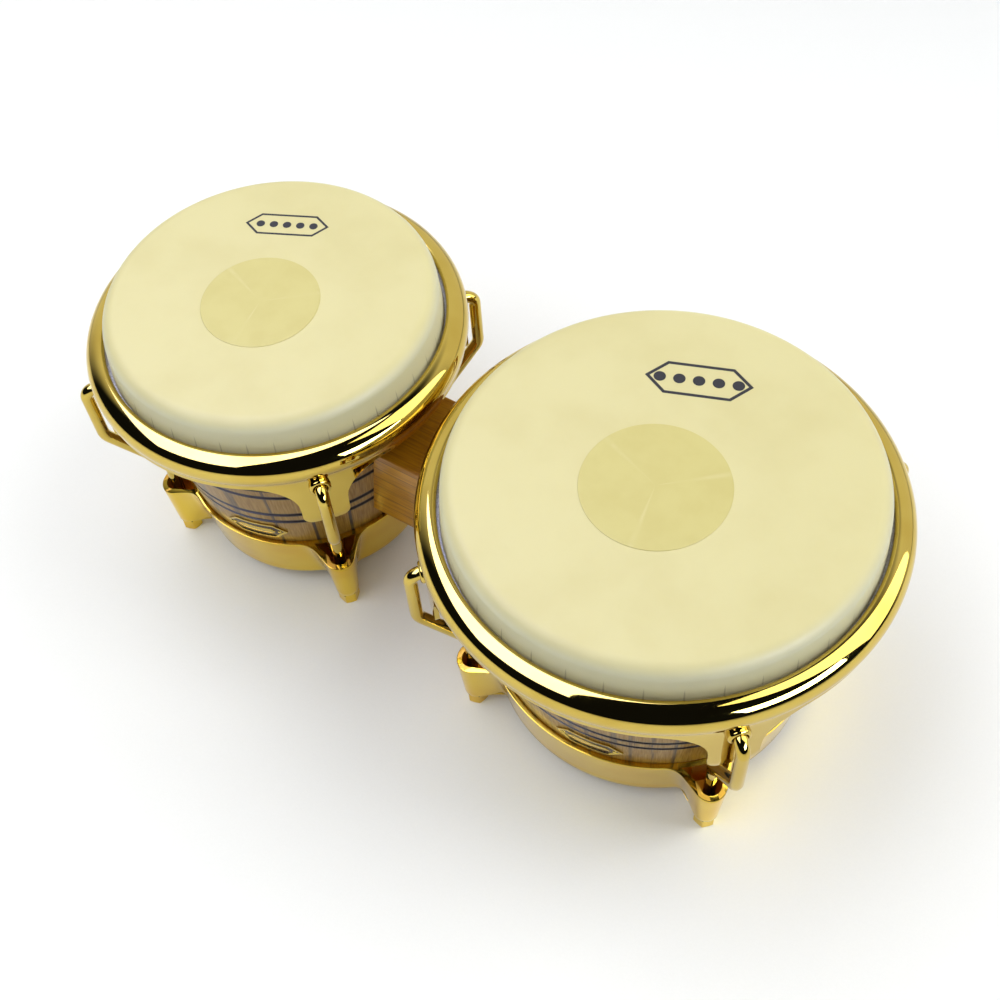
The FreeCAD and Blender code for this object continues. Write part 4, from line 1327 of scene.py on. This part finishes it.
@dataclass
class Badge:
    """Plain six-sided plate on the shell: gold border, dark sunk field and a raised bar."""

    drum: Drum
    half_long: float = 19.0
    half_high: float = 7.5
    middle: float = 62.5
    thick: float = 1.0

    def build(self) -> None:
        """Make and dress the plate, its field and its two rivets."""
        drum = self.drum
        plate = self.make_plate(drum.label("badge_plate"), 0.0, self.thick, sunk=True)
        dress(plate, GOLD, "base", "badge_plate", drum.label("badge"))
        field = self.make_plate(drum.label("badge_field"), 1.25, 0.62, sunk=False)
        dress(field, LACQUER, "base", "badge_plate")
        bar = self.make_plate(drum.label("badge_bar"), 5.0, 0.95, sunk=False)
        dress(bar, GOLD, "base", "badge_plate")
        self.make_rivets()

    def wrap(self, piece: bpy.types.Object) -> None:
        """Bend a flat piece round the shell: X is along it, Y up it and Z off it."""
        drum = self.drum
        base = drum.shell_radius(self.middle)
        for corner in piece.data.vertices:
            along, up, off = (v / MM for v in corner.co)
            angle = math.radians(drum.badge_turn) + along / base
            radius = drum.shell_radius(self.middle + up) + 0.05 + off
            corner.co = ((drum.axis_x + radius * math.cos(angle)) * MM,
                         radius * math.sin(angle) * MM, (self.middle + up) * MM)
        piece.data.update()

    def make_plate(self, name: str, inset: float, thick: float, sunk: bool) -> bpy.types.Object:
        """Cut a six-sided plate, sink its field if asked, and bend it to the shell.

        Args:
            name: The plate's name.
            inset: How far its edge is inside the badge's edge, in millimetres.
            thick: Its thickness.
            sunk: Whether its field is sunk.

        Returns:
            The plate.
        """
        clear_selection()
        bpy.ops.mesh.primitive_circle_add(vertices=6, radius=MM, fill_type="NGON")
        plate = named(name)
        half_high = self.half_high - inset
        half_long = self.half_long - inset * 1.414
        shoulder = half_long - half_high
        corners = [(half_long, 0.0), (shoulder, half_high), (-shoulder, half_high),
                   (-half_long, 0.0), (-shoulder, -half_high), (shoulder, -half_high)]
        with editing(plate):
            mesh = bmesh.from_edit_mesh(plate.data)
            mesh.verts.ensure_lookup_table()
            for corner, (x, y) in zip(mesh.verts, corners):
                corner.co = (x * MM, y * MM, 0.0)
            bmesh.update_edit_mesh(plate.data)
            bpy.ops.mesh.select_all(action="SELECT")
            bpy.ops.mesh.extrude_region_move(TRANSFORM_OT_translate={"value": (0, 0, thick * MM)})
            bpy.ops.mesh.select_all(action="SELECT")
            bpy.ops.mesh.normals_make_consistent(inside=False)
            if sunk:
                pick(plate, Part.FACES, lambda face: face.normal.z > 0.9)
                bpy.ops.mesh.inset(thickness=1.2 * MM)
                bpy.ops.mesh.inset(thickness=0.25 * MM)
                bpy.ops.transform.translate(value=(0.0, 0.0, -0.45 * MM))
            for cut in range(-8, 9):
                bpy.ops.mesh.select_all(action="SELECT")
                bpy.ops.mesh.bisect(plane_co=(cut * 2.1 * MM, 0.0, 0.0), plane_no=(1.0, 0.0, 0.0))
        ease_edges(plate, 0.12, 2, 30.0)
        self.wrap(plate)
        return smooth(plate, 30.0)

    def make_rivets(self) -> None:
        """Turn a domed rivet and set one near each end of the plate."""
        drum = self.drum
        dome = [(0.0, 0.75)] + [(1.1 * math.sin(a), 0.3 + 0.45 * math.cos(a))
                                for a in (0.4, 0.8, 1.2, 1.5)] + [(1.1, -1.0), (0.0, -1.0)]
        model = turned("rivet_model", dome, 0.0, 24)
        radius = drum.shell_radius(self.middle) + self.thick - 0.4
        pieces = []
        for side in (-1.0, 1.0):
            angle = math.radians(drum.badge_turn) + side * (self.half_long - 4.6) / radius
            pieces.append(placed_copy(model, "rivet", Matrix.Translation((
                (drum.axis_x + radius * math.cos(angle)) * MM, radius * math.sin(angle) * MM,
                self.middle * MM)) @ Matrix.Rotation(angle, 4, "Z")
                @ Matrix.Rotation(math.pi / 2, 4, "Y")))
        bpy.data.objects.remove(model)
        rivets = smooth(joined(drum.label("badge_rivets"), pieces))
        dress(rivets, GOLD, "base", "badge_plate", drum.label("badge_pins"))


@dataclass
class CentreBlock:
    """Laminated block between the drums, hollowed at both ends to fit the shells."""

    small: Drum
    large: Drum
    half_wide: float = 27.0
    foot: float = 61.5
    top: float = 121.5

    def build(self) -> None:
        """Make the block and give the steel fittings inside the shells their finish."""
        clear_selection()
        start, end = self.small.axis_x + self.small.foot, self.large.axis_x - self.large.foot
        bpy.ops.mesh.primitive_cube_add(
            size=1.0, location=((start + end) / 2 * MM, 0.0, (self.foot + self.top) / 2 * MM),
            scale=((end - start) * MM, self.half_wide * 2 * MM, (self.top - self.foot) * MM))
        block = settle(named("block_laminated"))
        ease_edges(block, 1.6, 3)
        for drum in (self.small, self.large):
            low, high = self.foot - 5.0, self.top + 5.0
            shell = turned("shell_form", [
                (0.0, low), (drum.shell_radius(low) + 0.05, low),
                (drum.shell_radius(high) + 0.05, high), (0.0, high)], drum.axis_x, 256)
            cut_away(block, shell)
        dress(smooth(block, 30.0), BlockWood().make(), "base", "block_wood", "centre_block")
        for name in ("small_saddle", "large_saddle", "block_bolts", "block_bolt_nuts"):
            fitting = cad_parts[name]
            fitting.data.materials.clear()
            fitting.data.materials.append(STEEL)
            log.info("%s: finish only", name)


# --- studio -----------------------------------------------------------------------------------


@dataclass(frozen=True)
class Softbox:
    """A rectangular studio light, placed from the middle of the drums.

    One that is not on_surfaces only shows in mirrors, and one that is not in_mirrors only lights
    rough surfaces.
    """

    name: str
    place: tuple[float, float, float]
    aim: tuple[float, float, float]
    size: Point
    power: float
    colour: tuple[float, float, float] = (0.985, 1.0, 0.99)
    in_mirrors: bool = True
    on_surfaces: bool = True

    def hang(self, target: Vector) -> None:
        """Hang the light and aim it."""
        data = bpy.data.lights.new(self.name, "AREA")
        data.shape = "RECTANGLE"
        data.size, data.size_y = self.size
        data.energy = self.power
        data.color = self.colour
        light = bpy.data.objects.new(self.name, data)
        bpy.context.scene.collection.objects.link(light)
        light.visible_glossy = self.in_mirrors
        light.visible_diffuse = self.on_surfaces
        light.location = target + Vector(self.place)
        light.rotation_euler = Vector(self.aim).to_track_quat("-Z", "Y").to_euler()


@dataclass
class Studio:
    """Pale floor, soft light, dark room on the near side, and the camera."""

    target: Vector
    lens: float = 49.45
    camera_aim: tuple[float, float, float] = (0.0516, -0.0533, 0.1835)
    camera_back: float = 0.6573
    camera_azimuth: float = -53.85      # degrees, as are the next two
    camera_elevation: float = 55.14
    camera_roll: float = -5.1

    def build(self) -> None:
        """Set up the floor, the lights, the room and the camera."""
        self.lay_floor()
        for light in (
            Softbox("overhead_softbox", (-0.72, -0.5, 1.5), (0.0, 0.0, -1.0), (1.35, 2.0), 26.0),
            # The glare only whitens the overhead softbox where gold mirrors it.
            Softbox("overhead_glare", (-0.72, -0.5, 1.47), (0.0, 0.0, -1.0), (1.35, 2.0), 38.0,
                    (0.3, 0.35, 1.0), on_surfaces=False),
            Softbox("right_softbox", (1.02, 0.58, 1.1), (-1.02, -0.58, -1.0), (0.9, 2.1), 17.0),
            Softbox("right_strip", (1.42, -0.28, 0.72), (-1.42, 0.28, -0.72), (1.0, 0.5), 40.0,
                    (0.62, 0.74, 1.0), on_surfaces=False),
            Softbox("near_fill", (0.9, -1.6, 1.8), (-0.9, 1.6, -1.8), (3.0, 3.0), 21.0,
                    in_mirrors=False),
        ):
            light.hang(self.target)
        self.light_room()
        self.place_camera()

    def lay_floor(self) -> None:
        """A large pale floor just under the nuts."""
        clear_selection()
        bpy.ops.mesh.primitive_plane_add(size=12.0, location=(0.0, 0.0, -0.0002))
        floor = named("floor")
        with editing(floor):
            bpy.ops.mesh.select_all(action="SELECT")
            bpy.ops.mesh.subdivide(number_cuts=3)
        settle(floor)
        material, tree = new_material("white_paper_sweep")
        place = add(tree, "TexCoord").outputs["Object"]
        tooth = add(tree, "TexNoise", {"Vector": place, "Scale": 900.0}).outputs[0]
        colour = mixed(tree, tooth, linear("F7F7F7"), linear("F2F2F2"))
        shader(tree, {"Base Color": colour, "Roughness": 0.9, "Specular IOR Level": 0.1},
               bump=tooth, depth=0.02)
        floor.data.materials.append(material)

    def light_room(self) -> None:
        """A room that is pale behind the drums and dark above and on the near side."""
        world = bpy.data.worlds.new("studio_room")
        bpy.context.scene.world = world
        world.use_nodes = True
        tree = world.node_tree
        tree.nodes.clear()
        way = add(tree, "TexCoord").outputs["Generated"]
        behind = add(tree, "VectorMath", {0: way, 1: (-0.34, 0.94, 0.0)},
                     operation="DOT_PRODUCT").outputs["Value"]
        high = add(tree, "SeparateXYZ", {0: way}).outputs[2]
        glow = maths(tree, "MULTIPLY", ramp(tree, behind, 0.1, 0.55), ramp(tree, high, 0.9, 0.75))
        colour = mixed(tree, glow, (0.007, 0.008, 0.015, 1.0), (0.9, 0.9, 0.9, 1.0))
        back = add(tree, "Background", {"Color": colour, "Strength": 1.0})
        add(tree, "OutputWorld", {"Surface": back.outputs[0]})

    def place_camera(self) -> None:
        """Stand the camera above and in front of the drums, rolled a little."""
        data = bpy.data.cameras.new("camera")
        data.lens, data.sensor_width, data.clip_end = self.lens, 36.0, 50.0
        camera = bpy.data.objects.new("camera", data)
        bpy.context.scene.collection.objects.link(camera)
        azimuth, elevation = math.radians(self.camera_azimuth), math.radians(self.camera_elevation)
        away = Vector((math.cos(elevation) * math.cos(azimuth),
                       math.cos(elevation) * math.sin(azimuth), math.sin(elevation)))
        camera.location = Vector(self.camera_aim) + away * self.camera_back
        level = away.to_track_quat("Z", "Y").to_matrix()
        roll = Matrix.Rotation(math.radians(self.camera_roll), 3, "Z")
        camera.rotation_euler = (level @ roll).to_euler()
        bpy.context.scene.camera = camera


def main() -> None:
    """Build the drums and the studio, and report each piece."""
    logging.basicConfig(level=logging.INFO, format="%(message)s")
    bpy.context.scene.view_settings.view_transform = "Standard"
    small = Drum(name="small", axis_x=-129.25, head=92.0, foot=68.0, shaft=84.6, turn=48.0,
                 patch=32.5, patch_shift=7.5, badge_turn=284.0, slots=41, staves=22,
                 mark_place=(-151.9, 46.5), mark_half=(24.0, 8.0), mark_turn=24.4)
    large = Drum(name="large", axis_x=111.75, head=109.5, foot=86.5, shaft=104.2, turn=45.0,
                 patch=37.3, patch_shift=9.0, badge_turn=277.0, slots=38, staves=26,
                 mark_place=(100.1, 58.9), mark_half=(27.5, 10.5), mark_turn=20.0)
    for drum in (small, large):
        for section in (ShellAndHead(drum), RimSet(drum), BottomRing(drum), Badge(drum)):
            section.build()
    CentreBlock(small, large).build()
    Studio(Vector((0.0, 0.0, 0.0955))).build()


if __name__ == "__main__":
    main()
